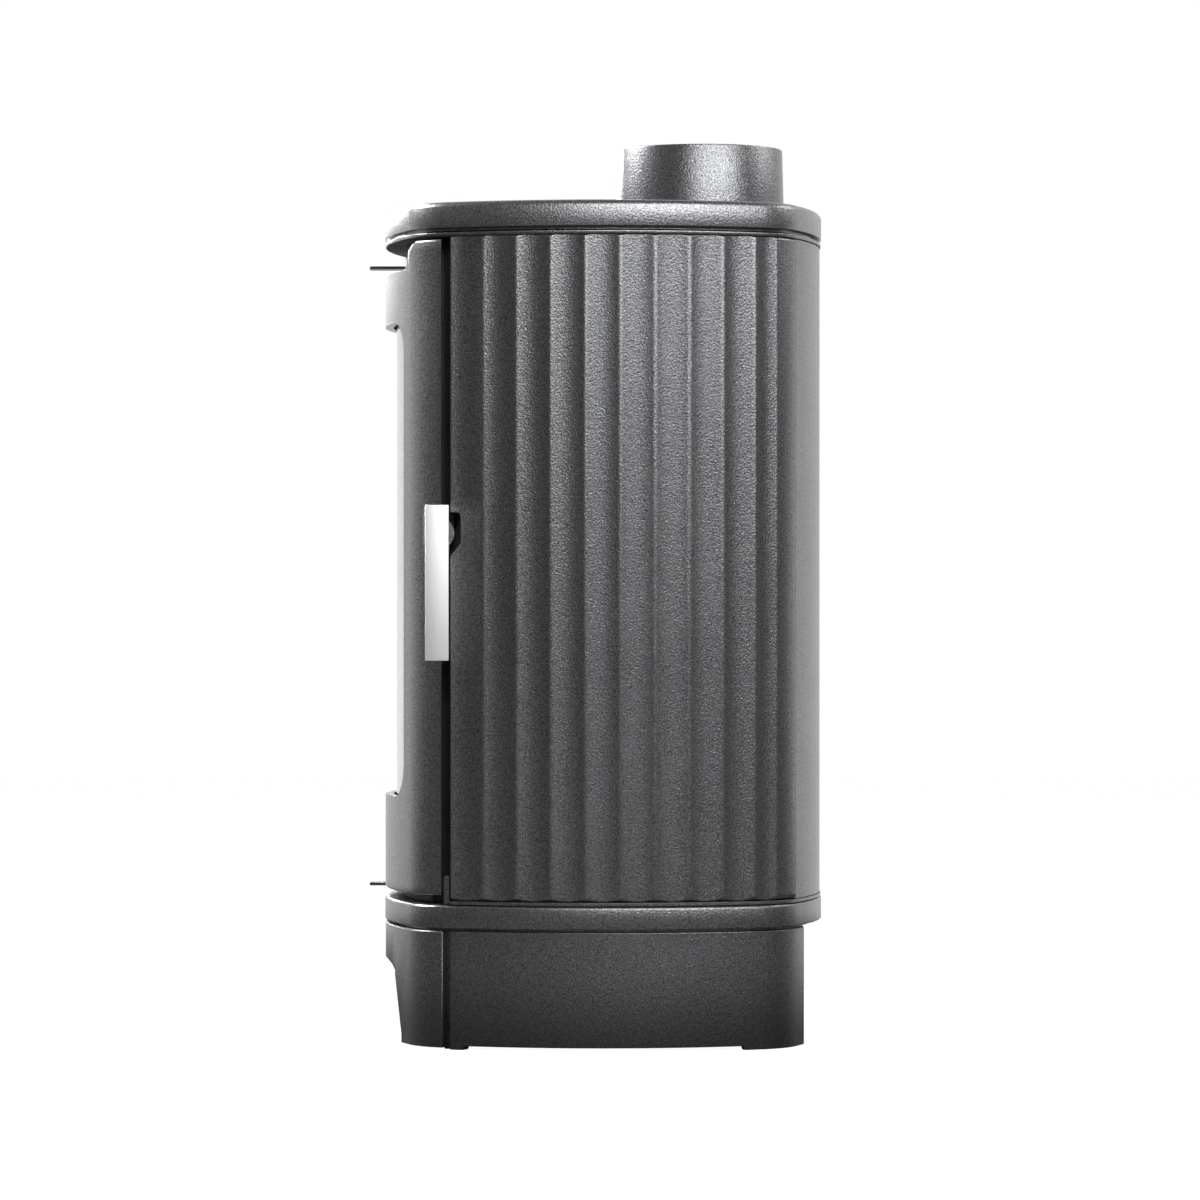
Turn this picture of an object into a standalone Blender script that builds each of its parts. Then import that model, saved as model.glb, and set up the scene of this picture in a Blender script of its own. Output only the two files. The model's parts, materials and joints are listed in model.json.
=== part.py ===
"""Cast iron wood stove: a bow-sided, bow-fronted stove on a plinth, with a hinged glass door.

Metres, +Z up. The front faces -Y and the door hangs on the -X side. All pieces are drawn about
the middle of the stove's plan, on the floor, and stand under one empty that sets them back a
little, so that the two air levers at the front are counted in the middle of the depth.
"""
import math

import bmesh
import bpy
from mathutils import Matrix, Vector

# Plan of the stove: two side arcs, two end arcs and four corner arcs
WIDTH = 0.400
DEPTH = 0.384
SIDE_RADIUS = 0.325
END_RADIUS = 0.380
CORNER_RADIUS = 0.060
GAP = 0.0003

# Heights above the floor
PLINTH_FOOT = 0.0033
PLINTH_TOP = 0.1006
BASE_UNDER = 0.1031
BASE_TOP = 0.1229
STRIP_UNDER = 0.1238
STRIP_TOP = 0.1260
DOOR_UNDER = 0.1307
DOOR_FRONT_TOP = 0.6730
DOOR_WING_TOP = 0.6882
FRAME_UNDER = 0.6906
FRAME_TOP = 0.6950
PLATE_UNDER = 0.6976
PLATE_TOP = 0.7198
COLLAR_TOP = 0.7780

# Castings
SKIN_INSET = 0.0015
PANEL_WALL = 0.0060
PLATE_SKIN = 0.0080
PLATE_RIM = 0.0120
PLATE_EDGE = 0.0050
BASE_EDGE = 0.0030
RIB_INSET = 0.0080
FRAME_WIDTH = 0.0400
PLINTH_WALL = 0.0060
PLINTH_FLANGE = 0.0220
APRON_LIP_LOW = 0.0700
APRON_STEP_LOW = 0.0590

# Flutes of the side panels, measured along the bowed side from its middle
FLUTE_PITCH = 0.0298
FLUTE_DEPTH = 0.0016
FLUTE_LAND = 0.0017
PANEL_FOOT_EDGE = 0.0050
PANEL_HEAD_EDGE = 0.0020
REAR_JOINT = 68.0
REAR_LAP = 0.0055

# Front frame behind the door
SEAT_INSET = 0.0180
SEAT_WALL = 0.0080
RECESS_INSET = 0.0280
SEAT_ANGLE = 57.0
RECESS_ANGLE = 54.0
STEP_BACK = 6.0
FLANGE_ANGLE = 21.0
FLANGE_SPAN = 1.6
MOUTH_LOW = 0.1540
MOUTH_HIGH = 0.6450
MOUTH_CORNER = 0.0150

# Door
DOOR_INSET = 0.0005
DOOR_WALL = 0.0070
DOOR_ROUND = 0.0020
WINDOW_LOW = 0.2120
WINDOW_HIGH = 0.6210
WINDOW_CORNER = 0.0290
GLASS_THICK = 0.0040
GLASS_LAP = 0.0120
GASKET_THICK = 0.0022
CLIP_THICK = 0.0020
CLIP_REACH = 0.0080
CLIP_FOOT = 0.0110
ROPE_ANGLE = 60.0
ROPE_CORNER = 0.0200
ROPE_LOW = 0.1430
ROPE_HIGH = 0.6580

# Hinge on the far side
HINGE_ANGLE = 42.0
HINGE_INSET = 0.0075
HINGE_BOSS = 0.0072
HINGE_BOSS_HEIGHT = 0.0260
HINGE_BORE = 0.0042
PIN_RADIUS = 0.0035
PIN_SEAT = 0.0038
PIN_HEAD = 0.0060
PIN_SINK = 0.0050

# Latch on the near side
LATCH_Z = 0.4384
BOSS_RADIUS = 0.0130
SPINDLE_RADIUS = 0.0050
SPINDLE_BORE = 0.0055
HANDLE_WIDTH = 0.0200
HANDLE_THICK = 0.0050
HANDLE_LOW = 0.3301
HANDLE_HIGH = 0.4621
CAM_THICK = 0.0045
CAM_REACH = 0.0110
CAM_HUB = 0.0075
CAM_TONGUE = 0.0045
KEEPER_INSET = 0.0200
KEEPER_HEIGHT = 0.0100
KEEPER_CLEARANCE = 0.0016
NOTCH_LOW = 0.4170
NOTCH_HIGH = 0.4563

# Air slides
LEVER_WIDTH = 0.0220
LEVER_REACH = 0.0170
SLIDE_THICK = 0.0026
SLIDE_TRAVEL = 0.0200
SLIDE_WIDTH = 0.0260
AIR_HOLE_HALF = 0.0100
AIR_HOLE_PITCH = 0.0600
AIR_HOLE_DEPTH = 0.0100
UPPER_SLIDE = 0.6782
VALVE_THICK = 0.0031
SHELF_THICK = 0.0030
SHELF_LIP = 0.0180
SHELF_BACK = 0.0060

# Firebox
HEARTH_UNDER = 0.2080
HEARTH_THICK = 0.0080
HEARTH_INSET = 0.0365
GRATE_SIZE = 0.1600
GRATE_THICK = 0.0100
GRATE_LEDGE = 0.0070
GRATE_Y = -0.0150
BRICK_THICK = 0.0160
BRICK_TOP = 0.6000
BAFFLE_THICK = 0.0180
GUARD_INSET = 0.0440
GUARD_THICK = 0.0050
GUARD_HEIGHT = 0.0320

# Ash pan
PAN_WALL = 0.0020
PAN_WIRE = 0.0025
PAN_GRIP_HALF = 0.0400
PAN_GRIP_REACH = 0.0160
PAN_GRIP_BEND = 0.0060
RAIL_WALL = 0.0050
RAIL_LEDGE = 0.0180
RAIL_LEDGE_THICK = 0.0040
RAIL_SHORT = 0.0290

# Flue
FLUE_HOLE = 0.0610
COLLAR_FOOT_RADIUS = 0.0740
COLLAR_HEAD_RADIUS = 0.0725
COLLAR_WALL = 0.0055
COLLAR_LIP = 0.0060
COLLAR_SEAT = 0.0745
COLLAR_SINK = 0.0015

# Door rest
REST_WIDTH = 0.0046
REST_DEPTH = 0.0080
REST_TOP = 0.1478


def clear_scene():
    for thing in list(bpy.data.objects):
        bpy.data.objects.remove(thing, do_unlink=True)


def collection(name):
    group = bpy.data.collections.new(name)
    bpy.context.scene.collection.children.link(group)
    return group


def finish(name, colour, roughness, metallic):
    """A plain Principled material for one piece."""
    material = bpy.data.materials.new(name)
    material.use_nodes = True
    shader = material.node_tree.nodes["Principled BSDF"]
    shader.inputs["Base Color"].default_value = (*colour, 1.0)
    shader.inputs["Roughness"].default_value = roughness
    shader.inputs["Metallic"].default_value = metallic
    return material


IRON = ((0.060, 0.060, 0.064), 0.45, 0.35)
STEEL = ((0.180, 0.180, 0.180), 0.35, 0.90)
BRIGHT = ((0.780, 0.780, 0.770), 0.22, 1.00)
GLASS = ((0.120, 0.130, 0.140), 0.05, 0.00)
BRICK = ((0.560, 0.470, 0.330), 0.90, 0.00)
ROPE = ((0.080, 0.080, 0.080), 0.95, 0.00)


def circle_crossing(centre_a, radius_a, centre_b, radius_b):
    """The point with positive x and y at the given distances from two centres."""
    ax, ay = centre_a
    bx, by = centre_b
    span = math.hypot(bx - ax, by - ay)
    along = (radius_a ** 2 - radius_b ** 2 + span ** 2) / (2 * span)
    across = math.sqrt(radius_a ** 2 - along ** 2)
    ux, uy = (bx - ax) / span, (by - ay) / span
    first = (ax + along * ux - across * uy, ay + along * uy + across * ux)
    second = (ax + along * ux + across * uy, ay + along * uy - across * ux)
    return max(first, second)


SIDE_CENTRE = (WIDTH / 2 - SIDE_RADIUS, 0.0)
END_CENTRE = (0.0, DEPTH / 2 - END_RADIUS)
CORNER_CENTRE = circle_crossing(SIDE_CENTRE, SIDE_RADIUS - CORNER_RADIUS,
                                END_CENTRE, END_RADIUS - CORNER_RADIUS)
SIDE_TURN = math.degrees(math.atan2(CORNER_CENTRE[1], CORNER_CENTRE[0] - SIDE_CENTRE[0]))
END_TURN = math.degrees(math.atan2(CORNER_CENTRE[1] - END_CENTRE[1], CORNER_CENTRE[0]))

# Where the side's bow meets the corner, and what is placed from there
SIDE_LENGTH = math.radians(SIDE_TURN) * SIDE_RADIUS
BEND_X = CORNER_CENTRE[0] + CORNER_RADIUS * math.cos(math.radians(SIDE_TURN))
BEND_Y = CORNER_CENTRE[1] + CORNER_RADIUS * math.sin(math.radians(SIDE_TURN))
DOOR_END = -SIDE_LENGTH - 0.0020
FLUTE_START = 0.0049 - SIDE_LENGTH
FLUTE_END = SIDE_LENGTH + 0.0171
FLUTE_COUNT = int((FLUTE_END - FLUTE_START) / FLUTE_PITCH - 0.4)
LAST_FLUTE = FLUTE_END - FLUTE_START - FLUTE_COUNT * FLUTE_PITCH
FOOT_FRONT = 0.0179 - SIDE_LENGTH
FOOT_REAR = SIDE_LENGTH - 0.0169
LATCH_Y = -BEND_Y - 0.0041
NOTCH_REAR = 0.0142 - BEND_Y
BOSS_INNER = BEND_X - 0.0175
BOSS_OUTER = BEND_X + 0.0020
HANDLE_FACE = BEND_X + 0.0155
NOTCH_END = BEND_X - 0.0235
NOTCH_HALF = BEND_X - 0.0505
WINDOW_HALF = BEND_X - 0.0485
MOUTH_HALF = BEND_X - 0.0525
BRICK_INNER = MOUTH_HALF
PAN_HALF = MOUTH_HALF - 0.0230
LEVER_X = 0.0905 - BEND_X
SLIDE_LEFT = 0.0705 - BEND_X
SLIDE_RIGHT = BEND_X - 0.0845

# What is placed from the front or the rear
FRONT = -DEPTH / 2
REAR = DEPTH / 2
SLIDE_FRONT = FRONT + 0.0490
PLINTH_REAR = REAR - 0.0195
APRON_STEP_Y = REAR - 0.0120
APRON_FOOT_Y = REAR - 0.0183
BRICK_FRONT = FRONT + 0.0780
BRICK_REAR = REAR - 0.0780
BAFFLE_FRONT = FRONT + 0.1020
PAN_FRONT = FRONT + 0.0580
PAN_REAR = REAR - 0.1020
PAN_TOP = HEARTH_UNDER - 0.0130
FLUE_Y = REAR - 0.1066


def plan_point(angle, inset=0.0):
    """The point of the plan whose outward normal has this angle, moved inwards by inset.

    0 degrees faces +X, 90 the rear and -90 the front.
    """
    cosine = math.cos(math.radians(angle))
    sine = math.sin(math.radians(angle))
    turn = math.degrees(math.atan2(abs(sine), abs(cosine)))
    if turn <= SIDE_TURN:
        centre, radius = SIDE_CENTRE, SIDE_RADIUS
    elif turn >= END_TURN:
        centre, radius = END_CENTRE, END_RADIUS
    else:
        centre, radius = CORNER_CENTRE, CORNER_RADIUS
    x = math.copysign(centre[0], cosine) if centre[0] >= 0 else -math.copysign(-centre[0], cosine)
    y = math.copysign(centre[1], sine) if centre[1] >= 0 else -math.copysign(-centre[1], sine)
    return x + (radius - inset) * cosine, y + (radius - inset) * sine


def angle_at(length):
    """The normal angle at this length along the side, counted from its middle."""
    side = math.radians(SIDE_TURN) * SIDE_RADIUS
    if abs(length) <= side:
        return math.degrees(length / SIDE_RADIUS)
    corner = math.degrees((abs(length) - side) / CORNER_RADIUS)
    return math.copysign(SIDE_TURN + corner, length)


def turn_steps(start, stop, flat=3.5, corner=8.0):
    """Angles from start to stop, closer on the end arcs than round the corners."""
    marks = [start, stop]
    for quarter in (-360, -180, 0, 180, 360):
        for turn in (-END_TURN, -SIDE_TURN, 0, SIDE_TURN, END_TURN, 90):
            if start < quarter + turn < stop:
                marks.append(quarter + turn)
    marks = sorted(set(marks))
    angles = []
    for low, high in zip(marks, marks[1:]):
        middle = math.radians((low + high) / 2)
        turn = math.degrees(math.atan2(abs(math.sin(middle)), abs(math.cos(middle))))
        step = corner if SIDE_TURN < turn < END_TURN else flat
        count = max(1, math.ceil((high - low) / step - 0.001))
        angles += [low + (high - low) * i / count for i in range(count)]
    return angles + [marks[-1]]


def add_mesh(name, builder, look, group, smooth=True):
    mesh = bpy.data.meshes.new(name)
    builder.to_mesh(mesh)
    builder.free()
    thing = bpy.data.objects.new(name, mesh)
    group.objects.link(thing)
    if look is not None:
        mesh.materials.append(finish(name, *look))
    if smooth:
        mesh.shade_smooth()
        mesh.set_sharp_from_angle(angle=math.radians(35))
    return thing


def loft(name, rings, look, group, smooth=True, pairs=False):
    """A closed solid through rings of points. With pairs, a ring is an outer line and then the
    inner line backwards, and its two ends are closed by a strip between them."""
    builder = bmesh.new()
    rows = [[builder.verts.new(point) for point in ring] for ring in rings]
    count = len(rings[0])
    for low, high in zip(rows, rows[1:]):
        for i in range(count):
            j = (i + 1) % count
            builder.faces.new((low[i], low[j], high[j], high[i]))
    for row in (rows[0], rows[-1]):
        if pairs:
            for i in range(count // 2 - 1):
                builder.faces.new((row[i], row[i + 1], row[-2 - i], row[-1 - i]))
        else:
            builder.faces.new(row)
    bmesh.ops.remove_doubles(builder, verts=builder.verts, dist=0.000001)
    bmesh.ops.recalc_face_normals(builder, faces=builder.faces)
    return add_mesh(name, builder, look, group, smooth)


def wall_ring(angles, outer, inner, z):
    """One ring of a wall that follows the plan; outer, inner and z are values or functions."""
    def value(source, angle):
        return source(angle) if callable(source) else source

    ring = [(*plan_point(a, value(outer, a)), value(z, a)) for a in angles]
    return ring + [(*plan_point(a, value(inner, a)), value(z, a)) for a in reversed(angles)]


def edge_rows(low, high, low_round, high_round, steps=3):
    """Heights and insets of a wall's outer face whose lower and upper edges are rounded."""
    rows = []
    for i in range(steps + 1):
        turn = math.pi / 2 * i / steps
        rows.append((low + low_round * (1 - math.cos(turn)), low_round * (1 - math.sin(turn))))
    for i in range(steps + 1):
        turn = math.pi / 2 * (1 - i / steps)
        rows.append((high - high_round * (1 - math.cos(turn)), high_round * (1 - math.sin(turn))))
    return rows


def outline(inset, z, count=96):
    """A full ring round the plan, evenly spread along the arcs."""
    points = []
    for angle in turn_steps(-180.0, 180.0, 5.0, 7.5)[:-1]:
        points.append((*plan_point(angle, inset), z))
    return points


def box(name, low, high, look, group, bevel=0.0, segments=1):
    """A block between two corners, with its edges rounded by a Bevel."""
    builder = bmesh.new()
    size = Vector(high) - Vector(low)
    middle = (Vector(high) + Vector(low)) / 2
    bmesh.ops.create_cube(builder, size=1.0, matrix=Matrix.Diagonal((*size, 1.0)))
    thing = add_mesh(name, builder, look, group, smooth=False)
    thing.location = middle
    if bevel:
        modifier = thing.modifiers.new("edges", "BEVEL")
        modifier.width = bevel
        modifier.segments = segments
        modifier.limit_method = "ANGLE"
    return thing


def rod(name, radius, start, end, look, group, sides=24):
    """A round bar from start to end along one axis."""
    builder = bmesh.new()
    line = Vector(end) - Vector(start)
    turn = Vector((0, 0, 1)).rotation_difference(line.normalized()).to_matrix().to_4x4()
    bmesh.ops.create_cone(builder, cap_ends=True, segments=sides, radius1=radius, radius2=radius,
                          depth=line.length, matrix=turn)
    thing = add_mesh(name, builder, look, group)
    thing.location = (Vector(start) + Vector(end)) / 2
    return thing


def slab(name, corners, low, high, look, group, plane="XY"):
    """A flat outline made solid: corners in plane XY, XZ or YZ, from low to high across it."""
    def place(u, v, w):
        if plane == "XY":
            return u, v, w
        if plane == "XZ":
            return u, w, v
        return w, u, v

    rings = [[place(u, v, low) for u, v in corners], [place(u, v, high) for u, v in corners]]
    return loft(name, rings, look, group, smooth=False)


def round_box(half_u, low_v, high_v, radius, steps=5, centre_u=0.0):
    """Corners of an upright rectangle with round corners."""
    points = []
    for cu, cv, first in ((half_u - radius, high_v - radius, 0), (radius - half_u, high_v - radius, 90),
                          (radius - half_u, low_v + radius, 180), (half_u - radius, low_v + radius, 270)):
        for i in range(steps + 1):
            turn = math.radians(first + 90 * i / steps)
            points.append((centre_u + cu + radius * math.cos(turn), cv + radius * math.sin(turn)))
    return points


def cut(thing, cutter, operation="DIFFERENCE"):
    """A Boolean with a guide that stays out of the model."""
    cutter.hide_render = True
    cutter.display_type = "WIRE"
    modifier = thing.modifiers.new(cutter.name, "BOOLEAN")
    modifier.operation = operation
    modifier.object = cutter
    return thing


def join(thing, other):
    return cut(thing, other, "UNION")


def flute_inset(length):
    """How far the fluted face lies inside the plan at this length along the side."""
    i = math.floor((length - FLUTE_START) / FLUTE_PITCH + 1e-6)
    i = max(0, min(i, FLUTE_COUNT))
    start = FLUTE_START + i * FLUTE_PITCH
    width = LAST_FLUTE if i == FLUTE_COUNT else FLUTE_PITCH
    share = (length - start - FLUTE_LAND / 2) / (width - FLUTE_LAND)
    if not 0 < share < 1:
        return 0.0
    return FLUTE_DEPTH * (1 - (2 * share - 1) ** 2)


def flute_lengths():
    """Lengths along the side where the fluted face has a point."""
    lengths = [FLUTE_START]
    start = FLUTE_START
    for i in range(FLUTE_COUNT + 1):
        width = LAST_FLUTE if i == FLUTE_COUNT else FLUTE_PITCH
        for share in (0.0, 0.14, 0.32, 0.5, 0.68, 0.86, 1.0):
            lengths.append(start + FLUTE_LAND / 2 + share * (width - FLUTE_LAND))
        start += width
    return lengths


def side_panel(name, group, guides, side):
    """A fluted, bowed casting that turns the rear corner. side is 1 for +X and -1 for -X."""
    columns = [(angle_at(s), SKIN_INSET + flute_inset(s)) for s in flute_lengths()]
    last = columns[-1][0]
    columns += [(a, SKIN_INSET) for a in turn_steps(last, REAR_JOINT)[1:]]
    inner = turn_steps(columns[0][0], REAR_JOINT, 3.5, 7.0)
    rows = []
    for z, edge in edge_rows(STRIP_TOP + GAP, FRAME_UNDER - GAP, PANEL_FOOT_EDGE, PANEL_HEAD_EDGE):
        ring = [(*plan_point(a, max(inset, SKIN_INSET + edge)), z) for a, inset in columns]
        ring += [(*plan_point(a, SKIN_INSET + PANEL_WALL), z) for a in reversed(inner)]
        rows.append([(side * x, y, z) for x, y, z in ring])
    panel = loft(name, rows, IRON, group)
    if side > 0:
        corner = NOTCH_LOW + (NOTCH_REAR - plan_point(columns[0][0])[1])
        shape = [(plan_point(columns[0][0])[1] - 0.01, NOTCH_LOW - 0.002),
                 (plan_point(columns[0][0])[1] + 0.001, NOTCH_LOW + 0.002),
                 (NOTCH_REAR, corner + 0.003), (NOTCH_REAR, NOTCH_HIGH - 0.004),
                 (NOTCH_REAR - 0.0012, NOTCH_HIGH - 0.0012), (NOTCH_REAR - 0.004, NOTCH_HIGH),
                 (plan_point(columns[0][0])[1] - 0.01, NOTCH_HIGH)]
        cut(panel, slab(name + "_notch", shape, BOSS_INNER, WIDTH / 2 + 0.01, None, guides, "YZ"))
    return panel


def rear_panel(group):
    """The bowed rear casting, lapped behind the side panels by a thin flange."""
    lap_turn = 4.0
    start, stop = REAR_JOINT - lap_turn, 180 - REAR_JOINT + lap_turn
    edge = REAR_JOINT + 0.06
    angles = [start, edge - 0.001] + turn_steps(edge, 180 - edge, 4.0) + [180 - edge + 0.001, stop]

    def outer(angle):
        return SKIN_INSET if edge <= angle <= 180 - edge else SKIN_INSET + PANEL_WALL + GAP

    inner = SKIN_INSET + PANEL_WALL + REAR_LAP
    rows = [wall_ring(angles, outer, inner, z) for z in (STRIP_TOP + GAP, FRAME_UNDER - GAP)]
    return loft("rear_panel", rows, IRON, group, pairs=True)


def plate_rings(low, high, low_edge, high_edge, inset, steps=3):
    return [outline(inset + edge, z) for z, edge in edge_rows(low, high, low_edge, high_edge, steps)]


def top_plate(group, guides):
    """Rounded plate, hollow below, that stands on a rib over the top frame."""
    rings = [outline(RIB_INSET, FRAME_TOP + GAP), outline(RIB_INSET, PLATE_UNDER)]
    rings += plate_rings(PLATE_UNDER, PLATE_TOP, 0.0006, PLATE_EDGE, 0.0)
    plate = loft("top_plate", rings, IRON, group)
    low = FRAME_TOP - 0.001
    hollow = [outline(RIB_INSET + PLATE_RIM, low), outline(RIB_INSET + PLATE_RIM, PLATE_TOP - PLATE_SKIN)]
    cut(plate, loft("top_plate_hollow", hollow, None, guides))
    cut(plate, rod("flue_hole", FLUE_HOLE, (0, FLUE_Y, PLATE_UNDER), (0, FLUE_Y, COLLAR_TOP), None,
                   guides, 48))
    cut(plate, rod("collar_seat", COLLAR_SEAT, (0, FLUE_Y, PLATE_TOP - COLLAR_SINK),
                   (0, FLUE_Y, COLLAR_TOP), None, guides, 64))
    return plate


def top_frame(group, guides):
    """The thin ring on the panels, whose lip shows all round under the top plate."""
    rings = plate_rings(FRAME_UNDER, FRAME_TOP, 0.0014, 0.0004, 0.0005, 2)
    frame = loft("top_frame", rings, IRON, group)
    way = [outline(FRAME_WIDTH, FRAME_UNDER - 0.01), outline(FRAME_WIDTH, FRAME_TOP + 0.01)]
    cut(frame, loft("top_frame_way", way, None, guides))
    x, y = hinge_place()
    cut(frame, rod("upper_pin_hole", PIN_SEAT, (x, y, FRAME_UNDER - 0.01), (x, y, FRAME_TOP + 0.01),
                   None, guides))
    return frame


def base_plate(group, guides):
    """Rounded plate, hollow below, with the air inlet and the lower hinge seat."""
    rings = [outline(RIB_INSET, PLINTH_TOP + GAP), outline(RIB_INSET, BASE_UNDER)]
    rings += plate_rings(BASE_UNDER, BASE_TOP, 0.0010, BASE_EDGE, 0.0)
    plate = loft("base_plate", rings, IRON, group)
    reach = RIB_INSET + PLATE_RIM
    hollow = [outline(reach, PLINTH_TOP - 0.001), outline(reach, BASE_TOP - PLATE_SKIN)]
    cut(plate, loft("base_plate_hollow", hollow, None, guides))
    for i, shape in enumerate(air_holes(0.002)):
        cut(plate, slab(f"inlet_{i}", shape, BASE_UNDER, BASE_TOP + 0.01, None, guides))
    x, y = hinge_place()
    cut(plate, rod("lower_pin_seat", PIN_SEAT, (x, y, BASE_TOP - PIN_SINK - GAP),
                   (x, y, BASE_TOP + 0.01), None, guides))
    return plate


def air_holes(extra, shift=0.0):
    """Outlines of the three air holes, further apart than the slides' whole travel."""
    low = SLIDE_FRONT + (SLIDE_WIDTH - AIR_HOLE_DEPTH) / 2 - extra
    high = low + AIR_HOLE_DEPTH + 2 * extra
    return [round_box(AIR_HOLE_HALF + extra, low, high, 0.004, 3,
                      AIR_HOLE_PITCH * (i - 1) - 0.010 + shift) for i in range(3)]


def panel_strip(group):
    """The thin strip between the base plate and the side and rear panels."""
    start = angle_at(FLUTE_START)
    angles = turn_steps(start, 180 - start, 5.0)

    def inner(angle):
        lap = REAR_LAP if SIDE_TURN < angle < 180 - SIDE_TURN else 0.0
        return SKIN_INSET + PANEL_WALL + lap

    rows = [wall_ring(angles, 0.0006, inner, z) for z in (STRIP_UNDER - 0.0006, STRIP_TOP)]
    return loft("panel_strip", rows, IRON, group, pairs=True)


def plinth(group, guides):
    """Open shell of the plinth: both sides and the flat rear, with feet and an inner flange."""
    front = -angle_at(FLUTE_START)
    lap = 5.0
    edge_angles = [-front - lap, -front - 0.05]
    feet = [angle_at(s) for s in (FOOT_FRONT - 0.001, FOOT_FRONT, FOOT_REAR, FOOT_REAR + 0.001)]
    span = turn_steps(-front, 180 + front, 4.0) + feet + [180 - a for a in feet]
    angles = edge_angles + sorted(span) + [180 - a for a in reversed(edge_angles)]
    lap_inset = DOOR_INSET + DOOR_WALL + GAP

    def outer(angle):
        return SKIN_INSET if -front - 0.01 <= angle <= 180 + front + 0.01 else lap_inset

    def inner(angle):
        near = angle < 10 - front or angle > 170 + front
        return lap_inset + PLINTH_WALL if near else SKIN_INSET + PLINTH_WALL

    def clipped(angle, inset, z, back):
        x, y = plan_point(angle, inset)
        return x, min(y, PLINTH_REAR - back), z

    def foot(angle):
        turn = angle if angle <= 90 else 180 - angle
        raised = angle_at(FOOT_FRONT) - 0.01 <= turn <= angle_at(FOOT_REAR) + 0.01
        return PLINTH_FOOT if raised else 0.0

    def ring(z, inset_of):
        line = [clipped(a, outer(a), z(a), 0.0) for a in angles]
        return line + [clipped(a, inset_of(a), z(a), inset_of(a) - SKIN_INSET)
                       for a in reversed(angles)]

    shelf = PLINTH_TOP - PLINTH_WALL
    rings = [ring(foot, inner), ring(lambda a: shelf, inner),
             ring(lambda a: shelf, lambda a: PLINTH_FLANGE),
             ring(lambda a: PLINTH_TOP, lambda a: PLINTH_FLANGE)]
    return loft("plinth", rings, IRON, group, pairs=True)


def front_apron(group):
    """The plinth's front: bowed at the lip, then cut back to a flat face that slopes in."""
    angles = turn_steps(-180 - angle_at(DOOR_END), angle_at(DOOR_END), 4.0, 8.0)

    def limit(z):
        if z >= APRON_LIP_LOW:
            return DEPTH
        if z <= APRON_STEP_LOW:
            share = z / APRON_STEP_LOW
            return APRON_FOOT_Y + (APRON_STEP_Y - APRON_FOOT_Y) * share
        share = (z - APRON_STEP_LOW) / (APRON_LIP_LOW - APRON_STEP_LOW)
        return APRON_STEP_Y + (DEPTH / 2 - APRON_STEP_Y) * share

    rings = []
    for z in (0.0015, APRON_STEP_LOW, APRON_LIP_LOW - 0.0001, PLINTH_TOP - 0.001, PLINTH_TOP):
        edge = 0.001 if z == PLINTH_TOP else 0.0
        line = []
        for a in angles:
            x, y = plan_point(a, DOOR_INSET + edge)
            line.append((x, max(y, -limit(z)), z))
        for a in reversed(angles):
            x, y = plan_point(a, DOOR_INSET + DOOR_WALL)
            line.append((x, max(y, -limit(z) + DOOR_WALL), z))
        rings.append(line)
    return loft("front_apron", rings, IRON, group, pairs=True)


def hinge_place():
    return plan_point(-180 + HINGE_ANGLE, HINGE_INSET)


def front_frame(group, guides):
    """The bowed seat behind the door, set back at its corners, with flanges to the panels."""
    flange = FLANGE_ANGLE
    near = [-flange + FLANGE_SPAN, -flange, -flange - 0.05]
    recess = turn_steps(-RECESS_ANGLE, -flange - 0.3, 6.0, 9.0)
    step = SEAT_ANGLE + STEP_BACK
    right = sorted(near + recess + [-SEAT_ANGLE, -step + 0.5])
    left = sorted(-180 - a for a in right)
    angles = left + turn_steps(-180 + step, -step, 3.5, 8.0) + right

    def outer(angle):
        turn = min(-angle, 180 + angle)
        if turn <= flange + 0.01:
            return SKIN_INSET + PANEL_WALL + GAP
        return SEAT_INSET if turn >= SEAT_ANGLE - 0.01 else RECESS_INSET

    def inner(angle):
        turn = min(-angle, 180 + angle)
        return (SEAT_INSET if turn >= step - 0.01 else RECESS_INSET) + SEAT_WALL

    rows = [wall_ring(angles, outer, inner, z) for z in (BASE_TOP + GAP, FRAME_UNDER - GAP)]
    frame = loft("front_frame", rows, IRON, group, pairs=True)
    front, back = FRONT - 0.02, FRONT + 0.092
    mouth = round_box(MOUTH_HALF, MOUTH_LOW, MOUTH_HIGH, MOUTH_CORNER)
    cut(frame, slab("mouth", mouth, front, back, None, guides, "XZ"))
    half = LEVER_WIDTH / 2 + SLIDE_TRAVEL + 0.003
    upper = round_box(half, UPPER_SLIDE - 0.0025, UPPER_SLIDE + SLIDE_THICK + 0.0025, 0.002, 2, LEVER_X)
    cut(frame, slab("upper_lever_slot", upper, front, back, None, guides, "XZ"))
    low = BASE_TOP - 0.01
    lower = [(LEVER_X - half, low), (LEVER_X + half, low),
             (LEVER_X + half, lower_slide() + SLIDE_THICK + 0.0025),
             (LEVER_X - half, lower_slide() + SLIDE_THICK + 0.0025)]
    cut(frame, slab("lower_lever_slot", lower, front, back, None, guides, "XZ"))
    return frame


def lower_slide():
    return BASE_TOP + GAP + VALVE_THICK + GAP


def door_top(angle):
    """The door's upper edge: full height at the wings, lower across the bowed front."""
    x = abs(plan_point(angle)[0])
    share = (x - NOTCH_HALF) / (NOTCH_END - NOTCH_HALF)
    share = min(max(share, 0.0), 1.0)
    return DOOR_FRONT_TOP + (DOOR_WING_TOP - DOOR_FRONT_TOP) * share


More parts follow.
